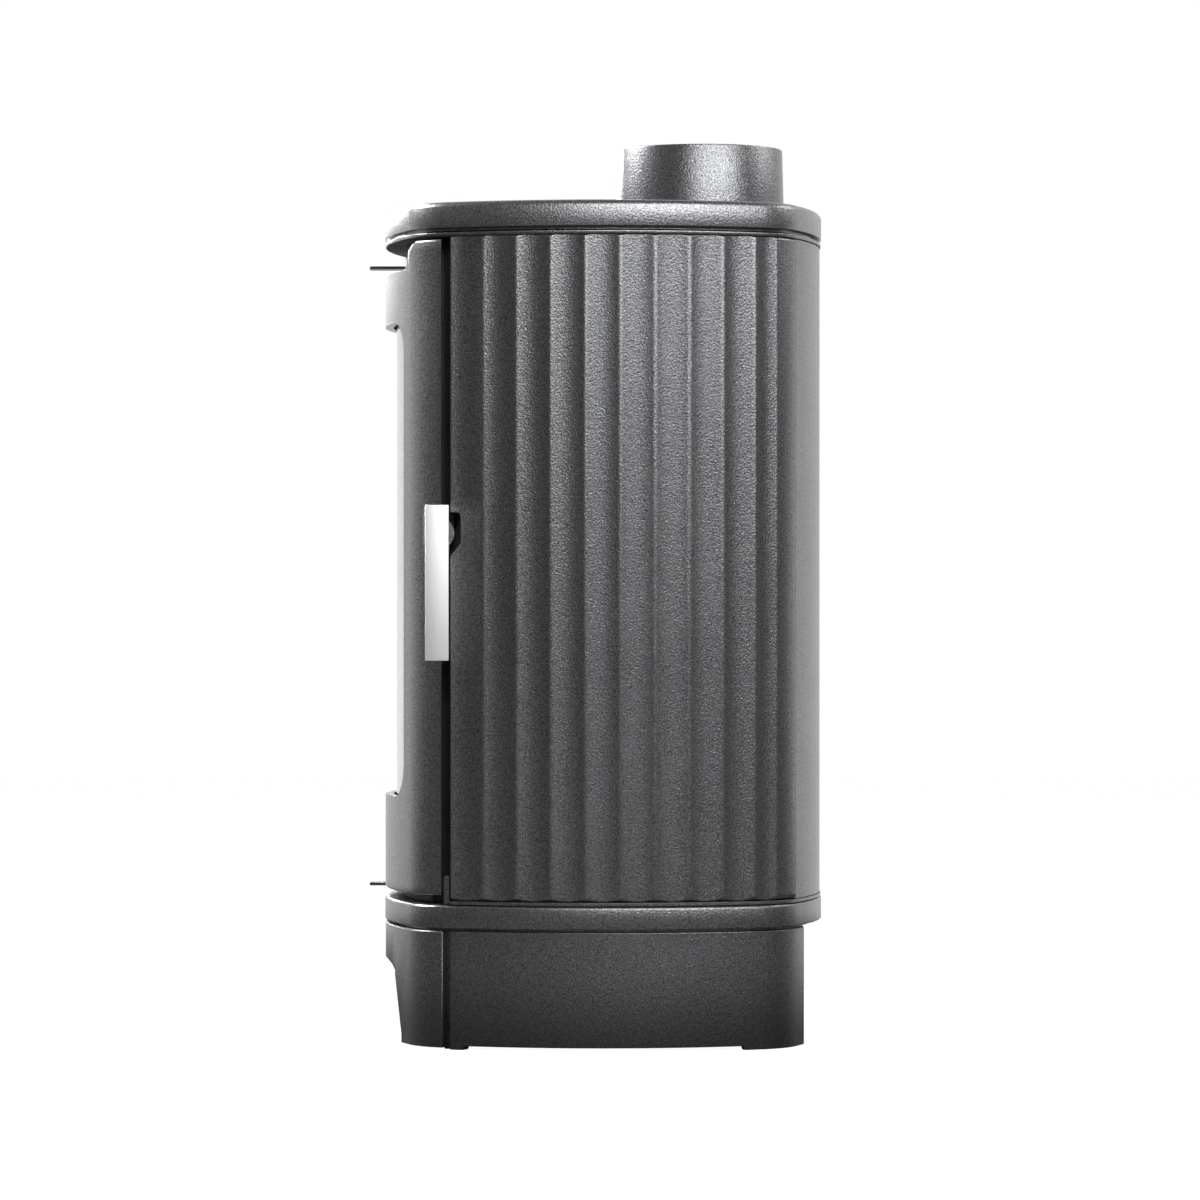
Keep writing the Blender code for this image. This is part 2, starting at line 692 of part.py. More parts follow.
def door_casting(group, guides):
    """Bowed door that wraps both front corners, with the window and its bosses."""
    angles = turn_steps(-180 - angle_at(DOOR_END), angle_at(DOOR_END), 2.5, 6.0)
    inner = DOOR_INSET + DOOR_WALL
    rings = []
    for i in range(4):
        turn = math.pi / 2 * i / 3
        z = DOOR_UNDER + DOOR_ROUND * (1 - math.cos(turn))
        edge = DOOR_ROUND * (1 - math.sin(turn))
        rings.append(wall_ring(angles, DOOR_INSET + edge, inner, z))
    for i in range(4):
        turn = math.pi / 2 * (1 - i / 3)
        drop = DOOR_ROUND * (1 - math.cos(turn))
        edge = DOOR_ROUND * (1 - math.sin(turn))
        rings.append(wall_ring(angles, DOOR_INSET + edge, inner, lambda a, d=drop: door_top(a) - d))
    door = loft("door_casting", rings, IRON, group, pairs=True)
    x, y = hinge_place()
    for name, low, high in (("lower_hinge_boss", DOOR_UNDER + 0.0002, DOOR_UNDER + HINGE_BOSS_HEIGHT),
                            ("upper_hinge_boss", DOOR_WING_TOP - HINGE_BOSS_HEIGHT,
                             DOOR_WING_TOP - 0.0002)):
        join(door, rod(name, HINGE_BOSS, (x, y, low), (x, y, high), None, guides))
    join(door, rod("latch_boss", BOSS_RADIUS, (BOSS_INNER, LATCH_Y, LATCH_Z),
                   (BOSS_OUTER, LATCH_Y, LATCH_Z), None, guides, 32))
    for name, low, high in (("lower_hinge_bore", DOOR_UNDER - 0.01, DOOR_UNDER + 0.020),
                            ("upper_hinge_bore", DOOR_WING_TOP - 0.020, DOOR_WING_TOP + 0.01)):
        cut(door, rod(name, HINGE_BORE, (x, y, low), (x, y, high), None, guides))
    cut(door, rod("spindle_bore", SPINDLE_BORE, (BOSS_INNER - 0.01, LATCH_Y, LATCH_Z),
                  (BOSS_OUTER + 0.01, LATCH_Y, LATCH_Z), None, guides))
    window = round_box(WINDOW_HALF, WINDOW_LOW, WINDOW_HIGH, WINDOW_CORNER, 7)
    cut(door, slab("window", window, FRONT - 0.02, FRONT + 0.042, None, guides, "XZ"))
    return door


def glass_span():
    """Angles and heights of the door glass, which laps the window all round."""
    reach = WINDOW_HALF + GLASS_LAP
    turn = math.degrees(math.acos(reach / (END_RADIUS - glass_inset())))
    return turn, WINDOW_LOW - GLASS_LAP, WINDOW_HIGH + GLASS_LAP


def glass_inset():
    return DOOR_INSET + DOOR_WALL + GAP + GASKET_THICK + GAP


def door_glass(group):
    turn, low, high = glass_span()
    angles = turn_steps(-180 + turn, -turn, 2.5)
    rows = [wall_ring(angles, glass_inset(), glass_inset() + GLASS_THICK, z) for z in (low, high)]
    return loft("door_glass", rows, GLASS, group, pairs=True)


def glass_gasket(group, guides):
    turn, low, high = glass_span()
    angles = turn_steps(-180 + turn, -turn, 2.5)
    start = DOOR_INSET + DOOR_WALL + GAP
    rows = [wall_ring(angles, start, start + GASKET_THICK, z) for z in (low, high)]
    gasket = loft("glass_gasket", rows, ROPE, group, pairs=True)
    clear = round_box(WINDOW_HALF + 0.002, WINDOW_LOW - 0.002, WINDOW_HIGH + 0.002, WINDOW_CORNER, 5)
    cut(gasket, slab("gasket_way", clear, FRONT - 0.02, FRONT + 0.042, None, guides, "XZ"))
    return gasket


def glass_clip(name, group, edge, away):
    """An L-shaped bar on the door's back that holds one edge of the glass. away is 1 or -1."""
    angles = turn_steps(-180 + 72.0, -72.0, 4.5)
    start = DOOR_INSET + DOOR_WALL + GAP
    face = glass_inset() + GLASS_THICK + GAP
    back = face + CLIP_THICK
    step = edge + away * GAP
    rows = [wall_ring(angles, start, back, edge + away * CLIP_FOOT),
            wall_ring(angles, start, back, step),
            wall_ring(angles, face, back, step),
            wall_ring(angles, face, back, edge - away * CLIP_REACH)]
    return loft(name, rows, STEEL, group, pairs=True)


def rope_seal(group):
    """The rope that the door presses on the front frame, one closed loop on the bowed seat."""
    front = DOOR_INSET + DOOR_WALL
    depth = (front + SEAT_INSET) / 2
    short = math.radians(END_TURN - ROPE_ANGLE) * (CORNER_RADIUS - depth)

    def turn_at(length):
        """The normal angle at this length from the upright run towards the middle."""
        if length <= short:
            return ROPE_ANGLE + math.degrees(length / (CORNER_RADIUS - depth))
        return END_TURN + math.degrees((length - short) / (END_RADIUS - depth))

    quarter = []
    for i in range(7):
        part = math.pi / 2 * i / 6
        quarter.append((turn_at(ROPE_CORNER * (1 - math.sin(part))), ROPE_CORNER * (1 - math.cos(part))))
    lay = turn_steps(-90.0, -quarter[0][0], 3.5)[:-1]
    right = [(a, ROPE_LOW) for a in lay] + [(-turn, ROPE_LOW + rise) for turn, rise in quarter]
    right += [(-turn, ROPE_HIGH - rise) for turn, rise in reversed(quarter)]
    right += [(a, ROPE_HIGH) for a in reversed(lay)]
    points = right + [(-180 - a, z) for a, z in reversed(right[1:-1])]
    curve = bpy.data.curves.new("rope_seal", "CURVE")
    curve.dimensions = "3D"
    curve.bevel_depth = (SEAT_INSET - front) / 2 - GAP
    curve.bevel_resolution = 2
    spline = curve.splines.new("POLY")
    spline.points.add(len(points) - 1)
    for point, (angle, z) in zip(spline.points, points):
        point.co = (*plan_point(angle, depth), z, 1.0)
    spline.use_cyclic_u = True
    curve.materials.append(finish("rope_seal", *ROPE))
    thing = bpy.data.objects.new("rope_seal", curve)
    group.objects.link(thing)
    return thing


def hinge_pin(name, group, guides, upper):
    """A shouldered pin, seated in the top frame or in the base plate."""
    x, y = hinge_place()
    if upper:
        shank = ((x, y, DOOR_WING_TOP - 0.016), (x, y, FRAME_TOP))
        head = ((x, y, DOOR_WING_TOP + GAP), (x, y, FRAME_UNDER - GAP))
    else:
        shank = ((x, y, BASE_TOP - PIN_SINK), (x, y, DOOR_UNDER + 0.016))
        head = ((x, y, BASE_TOP + GAP), (x, y, DOOR_UNDER - GAP))
    pin = rod(name, PIN_RADIUS, *shank, STEEL, group, 20)
    return join(pin, rod(name + "_collar", PIN_HEAD, *head, None, guides, 20))


def latch_parts(group, guides):
    """Spindle, flat handle bar and the cam behind the boss, drawn at the spindle's place."""
    cam_outer = BOSS_INNER - GAP
    spindle = rod("latch_spindle", SPINDLE_RADIUS, (cam_outer - CAM_THICK - 0.003, LATCH_Y, LATCH_Z),
                  (HANDLE_FACE - HANDLE_THICK - GAP, LATCH_Y, LATCH_Z), STEEL, group)
    handle = box("door_handle", (HANDLE_FACE - HANDLE_THICK, LATCH_Y - HANDLE_WIDTH / 2 - 0.0015, HANDLE_LOW),
                 (HANDLE_FACE, LATCH_Y + HANDLE_WIDTH / 2 - 0.0015, HANDLE_HIGH), BRIGHT, group,
                 0.0006, 2)
    shape = []
    neck = math.asin(CAM_TONGUE / CAM_HUB)
    for i in range(13):
        turn = neck + (2 * math.pi - 2 * neck) * i / 12
        shape.append((LATCH_Y + CAM_HUB * math.cos(turn), LATCH_Z + CAM_HUB * math.sin(turn)))
    shape += [(LATCH_Y + CAM_REACH, LATCH_Z - CAM_TONGUE), (LATCH_Y + CAM_REACH, LATCH_Z + CAM_TONGUE)]
    cam = slab("latch_cam", shape, cam_outer - CAM_THICK, cam_outer, STEEL, group, "YZ")
    cut(cam, rod("cam_bore", SPINDLE_RADIUS + GAP, (cam_outer - 0.02, LATCH_Y, LATCH_Z),
                 (cam_outer + 0.01, LATCH_Y, LATCH_Z), None, guides))
    return [spindle, handle, cam]


def latch_keeper(group):
    """A lug on the recess of the front frame, over the cam's tongue."""
    low = LATCH_Z + CAM_TONGUE + KEEPER_CLEARANCE
    angles = turn_steps(-32.0, -26.0, 3.0)
    rows = [wall_ring(angles, KEEPER_INSET, RECESS_INSET - GAP, z) for z in (low, low + KEEPER_HEIGHT)]
    return loft("latch_keeper", rows, STEEL, group, smooth=False, pairs=True)


def door_rest(group):
    """The round-topped lug in the gap between the door's free edge and the side panel."""
    angle = angle_at((DOOR_END + FLUTE_START) / 2)
    half = REST_WIDTH / 2
    shape = [(-half, BASE_TOP + GAP), (half, BASE_TOP + GAP)]
    for i in range(7):
        turn = math.radians(180 * i / 6)
        shape.append((half * math.cos(turn), REST_TOP - half + half * math.sin(turn)))
    along = Vector((-math.sin(math.radians(angle)), math.cos(math.radians(angle))))
    rings = []
    for inset in (0.0010, 0.0010 + REST_DEPTH):
        base = Vector(plan_point(angle, inset))
        rings.append([(*(base + along * u), z) for u, z in shape])
    return loft("door_rest", rings, IRON, group, smooth=False)


def air_slide(name, group, guides, z):
    """A flat steel slide with its lever, cut from one sheet, with holes like its valve plate's."""
    lever = LEVER_WIDTH / 2
    tip = FRONT - LEVER_REACH
    back = SLIDE_FRONT + SLIDE_WIDTH
    shape = [(SLIDE_LEFT, back), (SLIDE_LEFT, SLIDE_FRONT), (LEVER_X - lever, SLIDE_FRONT),
             (LEVER_X - lever, tip + 0.002), (LEVER_X - lever + 0.002, tip),
             (LEVER_X + lever - 0.002, tip), (LEVER_X + lever, tip + 0.002),
             (LEVER_X + lever, SLIDE_FRONT), (SLIDE_RIGHT, SLIDE_FRONT), (SLIDE_RIGHT, back)]
    slide = slab(name, shape, z, z + SLIDE_THICK, STEEL, group)
    for i, hole in enumerate(air_holes(0.0, SLIDE_TRAVEL)):
        cut(slide, slab(f"{name}_hole_{i}", hole, z - 0.01, z + 0.02, None, guides))
    return slide


def valve_plate(group, guides):
    """The plate on the base that the primary air slide lies on."""
    low = BASE_TOP + GAP
    plate = box("primary_valve_plate", (SLIDE_LEFT, SLIDE_FRONT, low),
                (SLIDE_RIGHT, SLIDE_FRONT + SLIDE_WIDTH, low + VALVE_THICK), STEEL, group)
    for i, hole in enumerate(air_holes(0.001)):
        cut(plate, slab(f"valve_hole_{i}", hole, low - 0.01, low + 0.02, None, guides))
    return plate


def airwash_shelf(group, guides):
    """The shelf on the frame's back that carries the airwash slide, with a lip that turns down."""
    turn = 73.0
    angles = turn_steps(-180 + turn, -turn, 4.0)
    start = SEAT_INSET + SEAT_WALL + GAP
    top = UPPER_SLIDE - GAP
    back = SLIDE_FRONT + SLIDE_WIDTH + SHELF_BACK
    line = [plan_point(a, start) for a in angles]
    corners = line + [(line[-1][0], back), (line[0][0], back)]
    shelf = slab("airwash_shelf", corners, top - SHELF_THICK, top, STEEL, group)
    lip = box("airwash_lip", (line[0][0], back - SHELF_THICK, top - SHELF_LIP),
              (line[-1][0], back, top - 0.001), None, guides)
    join(shelf, lip)
    for i, hole in enumerate(air_holes(0.001)):
        cut(shelf, slab(f"shelf_hole_{i}", hole, top - 0.01, top + 0.01, None, guides))
    return shelf


def hearth_plate(group, guides):
    """The firebox floor, with a stepped well for the grate."""
    high = HEARTH_UNDER + HEARTH_THICK
    rings = [outline(HEARTH_INSET, HEARTH_UNDER), outline(HEARTH_INSET, high)]
    plate = loft("hearth_plate", rings, IRON, group)
    half = GRATE_SIZE / 2
    well = box("grate_well", (-half, GRATE_Y - half, HEARTH_UNDER + 0.0025),
               (half, GRATE_Y + half, high + 0.01), None, guides)
    inner = half - GRATE_LEDGE
    through = box("grate_way", (-inner, GRATE_Y - inner, HEARTH_UNDER - 0.01),
                  (inner, GRATE_Y + inner, high + 0.01), None, guides)
    cut(plate, well)
    cut(plate, through)
    return plate


def grate(group, guides):
    half = GRATE_SIZE / 2 - 0.0006
    low = HEARTH_UNDER + 0.0025 + GAP
    body = box("grate", (-half, GRATE_Y - half, low), (half, GRATE_Y + half, low + GRATE_THICK), IRON,
               group, 0.001)
    for i in range(7):
        x = (i - 3) * 0.020
        for part, y in enumerate((GRATE_Y - 0.034, GRATE_Y + 0.034)):
            slot = round_box(0.005, y - 0.028, y + 0.028, 0.0049, 3, x)
            cut(body, slab(f"grate_slot_{i}_{part}", slot, low - 0.01, low + 0.02, None, guides))
    return body


def firebricks(group):
    """Side and rear bricks on the hearth plate, with the baffle laid across their tops."""
    low = HEARTH_UNDER + HEARTH_THICK + GAP
    outer = BRICK_INNER + BRICK_THICK
    bricks = []
    for name, side in (("firebrick_right", 1), ("firebrick_left", -1)):
        near, far = sorted((side * BRICK_INNER, side * outer))
        bricks.append(box(name, (near, BRICK_FRONT, low), (far, -BRICK_FRONT + 0.008, BRICK_TOP), BRICK,
                          group, 0.0015))
    rear = BRICK_REAR + BRICK_THICK
    bricks.append(box("firebrick_rear", (GAP - BRICK_INNER, BRICK_REAR, low),
                      (BRICK_INNER - GAP, rear, BRICK_TOP), BRICK, group, 0.0015))
    bricks.append(box("baffle", (0.001 - outer, BAFFLE_FRONT, BRICK_TOP + GAP),
                      (outer - 0.001, rear, BRICK_TOP + GAP + BAFFLE_THICK), BRICK, group, 0.0015))
    return bricks


def log_guard(group, guides):
    """A low curved fence on the hearth, behind the glass."""
    angles = turn_steps(-180 + 73.0, -73.0, 4.0)
    low = HEARTH_UNDER + HEARTH_THICK + GAP
    rows = [wall_ring(angles, GUARD_INSET, GUARD_INSET + GUARD_THICK, z)
            for z in (low, low + GUARD_HEIGHT)]
    guard = loft("log_guard", rows, IRON, group, pairs=True)
    for i in range(6):
        slot = round_box(0.011, low + 0.009, low + GUARD_HEIGHT - 0.007, 0.004, 3, (i - 2.5) * 0.030)
        cut(guard, slab(f"guard_slot_{i}", slot, FRONT, FRONT + 0.092, None, guides, "XZ"))
    return guard


def ash_pan(group, guides):
    """Sheet pan on its rails, open at the top, with a wire handle at the front."""
    low = MOUTH_LOW + 0.0015
    pan = box("ash_pan", (-PAN_HALF, PAN_FRONT, low), (PAN_HALF, PAN_REAR, PAN_TOP), STEEL, group,
              0.003, 2)
    inside = box("ash_pan_inside", (PAN_WALL - PAN_HALF, PAN_FRONT + PAN_WALL, low + PAN_WALL),
                 (PAN_HALF - PAN_WALL, PAN_REAR - PAN_WALL, PAN_TOP + 0.02), None, guides, 0.002)
    cut(pan, inside)
    wire = PAN_WIRE
    y = PAN_FRONT - GAP - wire
    z = (low + PAN_TOP) / 2
    curve = bpy.data.curves.new("ash_pan_handle", "CURVE")
    curve.dimensions = "3D"
    curve.bevel_depth = wire
    curve.bevel_resolution = 2
    curve.use_fill_caps = True
    spline = curve.splines.new("POLY")
    half, out, bend = PAN_GRIP_HALF, PAN_GRIP_REACH, PAN_GRIP_BEND
    places = [(-half, y + wire, z), (-half, y - out + bend, z),
              (bend / 3 - half, y - out + bend / 3, z), (bend - half, y - out, z),
              (half - bend, y - out, z), (half - bend / 3, y - out + bend / 3, z),
              (half, y - out + bend, z), (half, y + wire, z)]
    spline.points.add(len(places) - 1)
    for point, place in zip(spline.points, places):
        point.co = (*place, 1.0)
    curve.materials.append(finish("ash_pan_handle", *STEEL))
    handle = bpy.data.objects.new("ash_pan_handle", curve)
    group.objects.link(handle)
    return [pan, handle]


def ash_rail(name, group, side):
    """Upright rail from the base to the hearth plate, with the ledge that the pan slides on."""
    face = PAN_HALF + 0.002
    ledge = MOUTH_LOW + 0.0015 - GAP
    low, high = BASE_TOP + GAP, HEARTH_UNDER - GAP
    shape = [(face, low), (face + RAIL_WALL, low), (face + RAIL_WALL, high), (face, high),
             (face, ledge), (face - RAIL_LEDGE, ledge), (face - RAIL_LEDGE, ledge - RAIL_LEDGE_THICK),
             (face, ledge - RAIL_LEDGE_THICK)]
    shape = [(side * x, z) for x, z in shape]
    return slab(name, shape, PAN_FRONT + RAIL_SHORT, PAN_REAR + 0.006, STEEL, group, "XZ")


def flue_collar(group):
    """A turned, slightly tapered spigot with an inner foot, let into the top plate."""
    low = PLATE_TOP - COLLAR_SINK + GAP
    foot, head = COLLAR_FOOT_RADIUS, COLLAR_HEAD_RADIUS
    profile = [(head - 0.0015, COLLAR_TOP), (head - 0.0004, COLLAR_TOP - 0.0004),
               (head, COLLAR_TOP - 0.0015), (foot, low + 0.0015), (foot - 0.0005, low),
               (FLUE_HOLE, low), (FLUE_HOLE, low + COLLAR_LIP),
               (foot - COLLAR_WALL, low + COLLAR_LIP), (head - COLLAR_WALL, COLLAR_TOP - 0.0006),
               (head - COLLAR_WALL + 0.0006, COLLAR_TOP)]
    mesh = bpy.data.meshes.new("flue_collar")
    edges = [(i, (i + 1) % len(profile)) for i in range(len(profile))]
    mesh.from_pydata([(radius, 0.0, z) for radius, z in profile], edges, [])
    mesh.materials.append(finish("flue_collar", *IRON))
    thing = bpy.data.objects.new("flue_collar", mesh)
    group.objects.link(thing)
    thing.location = (0, FLUE_Y, 0)
    modifier = thing.modifiers.new("turn", "SCREW")
    modifier.steps = 64
    modifier.render_steps = 64
    modifier.merge_threshold = 0.00001
    modifier.use_merge_vertices = True
    modifier.use_smooth_shade = True
    return thing


def carry(things, carrier):
    """Hang things on an empty without moving them."""
    for thing in things:
        thing.parent = carrier
        thing.location = thing.location - carrier.location


def empty(name, place, group):
    thing = bpy.data.objects.new(name, None)
    thing.location = place
    group.objects.link(thing)
    return thing


def build():
    clear_scene()
    group = collection("cast_iron_wood_stove")
    guides = collection("guides")
    fixed = [top_plate(group, guides), top_frame(group, guides), flue_collar(group),
             side_panel("side_panel_right", group, guides, 1),
             side_panel("side_panel_left", group, guides, -1), rear_panel(group),
             panel_strip(group), base_plate(group, guides), plinth(group, guides),
             front_apron(group), front_frame(group, guides), latch_keeper(group), door_rest(group),
             hinge_pin("hinge_pin_upper", group, guides, True),
             hinge_pin("hinge_pin_lower", group, guides, False), airwash_shelf(group, guides),
             valve_plate(group, guides), hearth_plate(group, guides), grate(group, guides),
             log_guard(group, guides), ash_rail("ash_rail_right", group, 1),
             ash_rail("ash_rail_left", group, -1)]
    fixed += firebricks(group) + ash_pan(group, guides)
    door = [door_casting(group, guides), door_glass(group), glass_gasket(group, guides),
            glass_clip("glass_clip_upper", group, WINDOW_HIGH + GLASS_LAP, 1),
            glass_clip("glass_clip_lower", group, WINDOW_LOW - GLASS_LAP, -1), rope_seal(group)]
    latch = latch_parts(group, guides)
    slides = [air_slide("airwash_slide", group, guides, UPPER_SLIDE),
              air_slide("primary_air_slide", group, guides, lower_slide())]

    stove = empty("stove", (0, 0, 0), group)
    hinge = empty("door_hinge", (*hinge_place(), 0), group)
    spindle = empty("latch_pivot", (0, LATCH_Y, LATCH_Z), group)
    carry(fixed + slides, stove)
    carry(door, hinge)
    carry(latch, spindle)
    carry([spindle], hinge)
    carry([hinge], stove)
    carry(list(guides.objects), stove)
    stove.location = (0, LEVER_REACH / 2, 0)


build()
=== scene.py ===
"""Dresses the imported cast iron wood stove: castings, steel parts, glass, bricks, ropes, studio.

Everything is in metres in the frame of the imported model: +Z up, the door facing -Y.
"""
import json
import math

import bmesh
import bpy
from mathutils import Matrix, Vector


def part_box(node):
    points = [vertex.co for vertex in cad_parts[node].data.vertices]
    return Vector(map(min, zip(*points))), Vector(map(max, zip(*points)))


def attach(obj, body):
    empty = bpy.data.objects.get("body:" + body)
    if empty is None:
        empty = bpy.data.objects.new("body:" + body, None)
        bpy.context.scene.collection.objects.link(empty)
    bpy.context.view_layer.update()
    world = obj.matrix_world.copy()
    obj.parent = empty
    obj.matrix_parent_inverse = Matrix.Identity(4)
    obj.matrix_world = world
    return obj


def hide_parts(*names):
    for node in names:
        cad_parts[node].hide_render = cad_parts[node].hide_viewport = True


bl_info = {
    "name": "Cast iron wood stove",
    "version": (1, 0, 0),
    "blender": (4, 5, 0),
    "location": "3D View > Sidebar > Stove",
    "description": "Finishes, seals and studio for a bow-sided wood stove with fluted panels",
    "category": "Object",
}

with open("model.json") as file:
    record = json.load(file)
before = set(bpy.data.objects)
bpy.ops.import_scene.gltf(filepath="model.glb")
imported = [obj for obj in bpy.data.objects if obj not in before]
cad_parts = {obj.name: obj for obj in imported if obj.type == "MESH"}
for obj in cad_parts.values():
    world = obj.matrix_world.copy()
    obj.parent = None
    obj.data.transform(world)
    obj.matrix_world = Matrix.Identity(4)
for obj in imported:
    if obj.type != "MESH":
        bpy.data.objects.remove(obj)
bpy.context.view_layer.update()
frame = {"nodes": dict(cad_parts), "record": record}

# Degrees between two faces from which their edge stays crisp, and distances for joining points
CREASE = 32.0
CAD_WELD = 0.00001
FINE_WELD = 0.000001


def body_of_node(name):
    """The body that carries this CAD node."""
    for body, names in frame["record"]["behaviour"]["bodies"].items():
        if name in names:
            return body
    raise RuntimeError(f"no body holds {name}")


# ---- Settings


class StovePlan(bpy.types.PropertyGroup):
    """The bowed plan that every casting follows, and the flutes of its side panels."""

    width: bpy.props.FloatProperty(
        name="Width", description="Side to side", default=0.400, unit="LENGTH")
    depth: bpy.props.FloatProperty(
        name="Depth", description="Front to rear of the plates", default=0.384, unit="LENGTH")
    side_radius: bpy.props.FloatProperty(
        name="Side radius", description="Bow of the two sides", default=0.325, unit="LENGTH")
    end_radius: bpy.props.FloatProperty(
        name="End radius", description="Bow of the front and the rear", default=0.380,
        unit="LENGTH")
    corner_radius: bpy.props.FloatProperty(
        name="Corner radius", description="Radius round the corners", default=0.060,
        unit="LENGTH")
    set_back: bpy.props.FloatProperty(
        name="Set back", description="Plan's middle behind the origin", default=0.0085,
        unit="LENGTH")
    panel_inset: bpy.props.FloatProperty(
        name="Panel inset", description="Panels inside the plates' edge", default=0.0015,
        unit="LENGTH")
    panel_wall: bpy.props.FloatProperty(
        name="Panel wall", description="Thickness of a side panel", default=0.0060,
        unit="LENGTH")
    flute_start: bpy.props.FloatProperty(
        name="First ridge", description="Along the side, from its middle", default=-0.1345,
        unit="LENGTH")
    flute_pitch: bpy.props.FloatProperty(
        name="Flute pitch", description="Ridge to ridge", default=0.0298, unit="LENGTH")
    flute_count: bpy.props.IntProperty(
        name="Flutes", description="Flutes of full width", default=9)
    last_flute: bpy.props.FloatProperty(
        name="Last flute", description="Width of the rear flute", default=0.0228, unit="LENGTH")
    flute_depth: bpy.props.FloatProperty(
        name="Flute depth", description="Hollow below the ridges", default=0.0025, unit="LENGTH")
    ridge_width: bpy.props.FloatProperty(
        name="Ridge width", description="Flat between two flutes", default=0.0017, unit="LENGTH")


class StoveFinish(bpy.types.PropertyGroup):
    """Colours and surface values of the stove's materials."""

    paint: bpy.props.FloatVectorProperty(
        name="Stove paint", description="Graphite stove paint", default=(0.155, 0.157, 0.162),
        size=3, subtype="COLOR")
    paint_roughness: bpy.props.FloatProperty(
        name="Paint roughness", description="Satin of the paint", default=0.29)
    paint_metallic: bpy.props.FloatProperty(
        name="Graphite", description="Share of graphite in the paint", default=0.85)
    grain_size: bpy.props.FloatProperty(
        name="Grain size", description="Width of the casting's grain", default=0.0016,
        unit="LENGTH")
    grain_height: bpy.props.FloatProperty(
        name="Grain height", description="Height of that grain", default=0.00030, unit="LENGTH")
    # Painted shade: how far up the plinth and the apron the paint is darkened towards the floor
    foot_shade_height: bpy.props.FloatProperty(
        name="Foot shade height", description="How far up the plinth the painted shade darkens it",
        default=0.085, unit="LENGTH")
    steel: bpy.props.FloatVectorProperty(
        name="Mild steel", description="Dulled rolled steel", default=(0.22, 0.22, 0.225),
        size=3, subtype="COLOR")
    bright: bpy.props.FloatVectorProperty(
        name="Bright steel", description="Stainless handle bar", default=(0.86, 0.86, 0.86),
        size=3, subtype="COLOR")
    brick: bpy.props.FloatVectorProperty(
        name="Firebrick", description="Dry refractory brick", default=(0.56, 0.47, 0.33),
        size=3, subtype="COLOR")
    rope: bpy.props.FloatVectorProperty(
        name="Glass rope", description="Braided glass-fibre rope", default=(0.085, 0.085, 0.085),
        size=3, subtype="COLOR")
    glass: bpy.props.FloatVectorProperty(
        name="Fire glass", description="Clear ceramic glass", default=(0.80, 0.81, 0.80),
        size=3, subtype="COLOR")


class StoveStudio(bpy.types.PropertyGroup):
    """Camera and soft boxes."""

    camera_x: bpy.props.FloatProperty(
        name="Camera distance", description="From the stove's middle", default=4.550,
        unit="LENGTH")
    camera_y: bpy.props.FloatProperty(
        name="Camera side", description="Camera's place across the view", default=0.0057,
        unit="LENGTH")
    camera_z: bpy.props.FloatProperty(
        name="Camera height", description="Above the floor", default=0.374, unit="LENGTH")
    lens: bpy.props.FloatProperty(
        name="Lens", description="Focal length in millimetres", default=154.8)
    shift_y: bpy.props.FloatProperty(
        name="Shift", description="Upward shift of the frame", default=0.0075)
    front_power: bpy.props.FloatProperty(
        name="Front box", description="Soft box before the door", default=9.0, unit="POWER")
    near_power: bpy.props.FloatProperty(
        name="Near box", description="Soft box beside the camera", default=95.0, unit="POWER")
    rear_power: bpy.props.FloatProperty(
        name="Rear box", description="Soft box behind the stove", default=14.0, unit="POWER")
    edge_power: bpy.props.FloatProperty(
        name="Edge box", description="Soft box that grazes the door", default=15.0, unit="POWER")
    room: bpy.props.FloatProperty(
        name="Room light", description="Even light from all sides", default=0.17)


# ---- Plan


def plan_centres(plan):
    """Centres of the side, end and corner arcs in the first quarter, and where they meet."""
    side = (plan.width / 2 - plan.side_radius, 0.0)
    end = (0.0, plan.depth / 2 - plan.end_radius)
    a, b = plan.side_radius - plan.corner_radius, plan.end_radius - plan.corner_radius
    span = math.hypot(end[0] - side[0], end[1] - side[1])
    along = (a * a - b * b + span * span) / (2 * span)
    across = math.sqrt(a * a - along * along)
    ux, uy = (end[0] - side[0]) / span, (end[1] - side[1]) / span
    corner = max((side[0] + along * ux - across * uy, side[1] + along * uy + across * ux),
                 (side[0] + along * ux + across * uy, side[1] + along * uy - across * ux))
    side_turn = math.degrees(math.atan2(corner[1], corner[0] - side[0]))
    end_turn = math.degrees(math.atan2(corner[1] - end[1], corner[0]))
    return side, end, corner, side_turn, end_turn


def plan_point(plan, angle, inset=0.0):
    """Point of the plan with this outward normal angle, moved inwards by inset."""
    side, end, corner, side_turn, end_turn = plan_centres(plan)
    cosine, sine = math.cos(math.radians(angle)), math.sin(math.radians(angle))
    turn = math.degrees(math.atan2(abs(sine), abs(cosine)))
    if turn <= side_turn:
        centre, radius = side, plan.side_radius
    elif turn >= end_turn:
        centre, radius = end, plan.end_radius
    else:
        centre, radius = corner, plan.corner_radius
    x = centre[0] * math.copysign(1, cosine) + (radius - inset) * cosine
    y = centre[1] * math.copysign(1, sine) + (radius - inset) * sine
    return Vector((x, y + plan.set_back))


def angle_at(plan, length):
    """Normal angle at this length along the side, from its middle."""
    side_turn = plan_centres(plan)[3]
    side = math.radians(side_turn) * plan.side_radius
    if abs(length) <= side:
        return math.degrees(length / plan.side_radius)
    turn = side_turn + math.degrees((abs(length) - side) / plan.corner_radius)
    return math.copysign(turn, length)


# ---- Meshes


def new_piece(name, builder, material, body, nodes=(), crease=CREASE):
    """Finishes a mesh as a piece that rides on a body and stands for the CAD nodes."""
    mesh = bpy.data.meshes.new(name)
    builder.to_mesh(mesh)
    builder.free()
    mesh.shade_smooth()
    mesh.set_sharp_from_angle(angle=math.radians(crease))
    mesh.materials.append(material)
    piece = bpy.data.objects.new(name, mesh)
    bpy.context.scene.collection.objects.link(piece)
    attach(piece, body)
    if nodes:
        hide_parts(*nodes)
    return piece


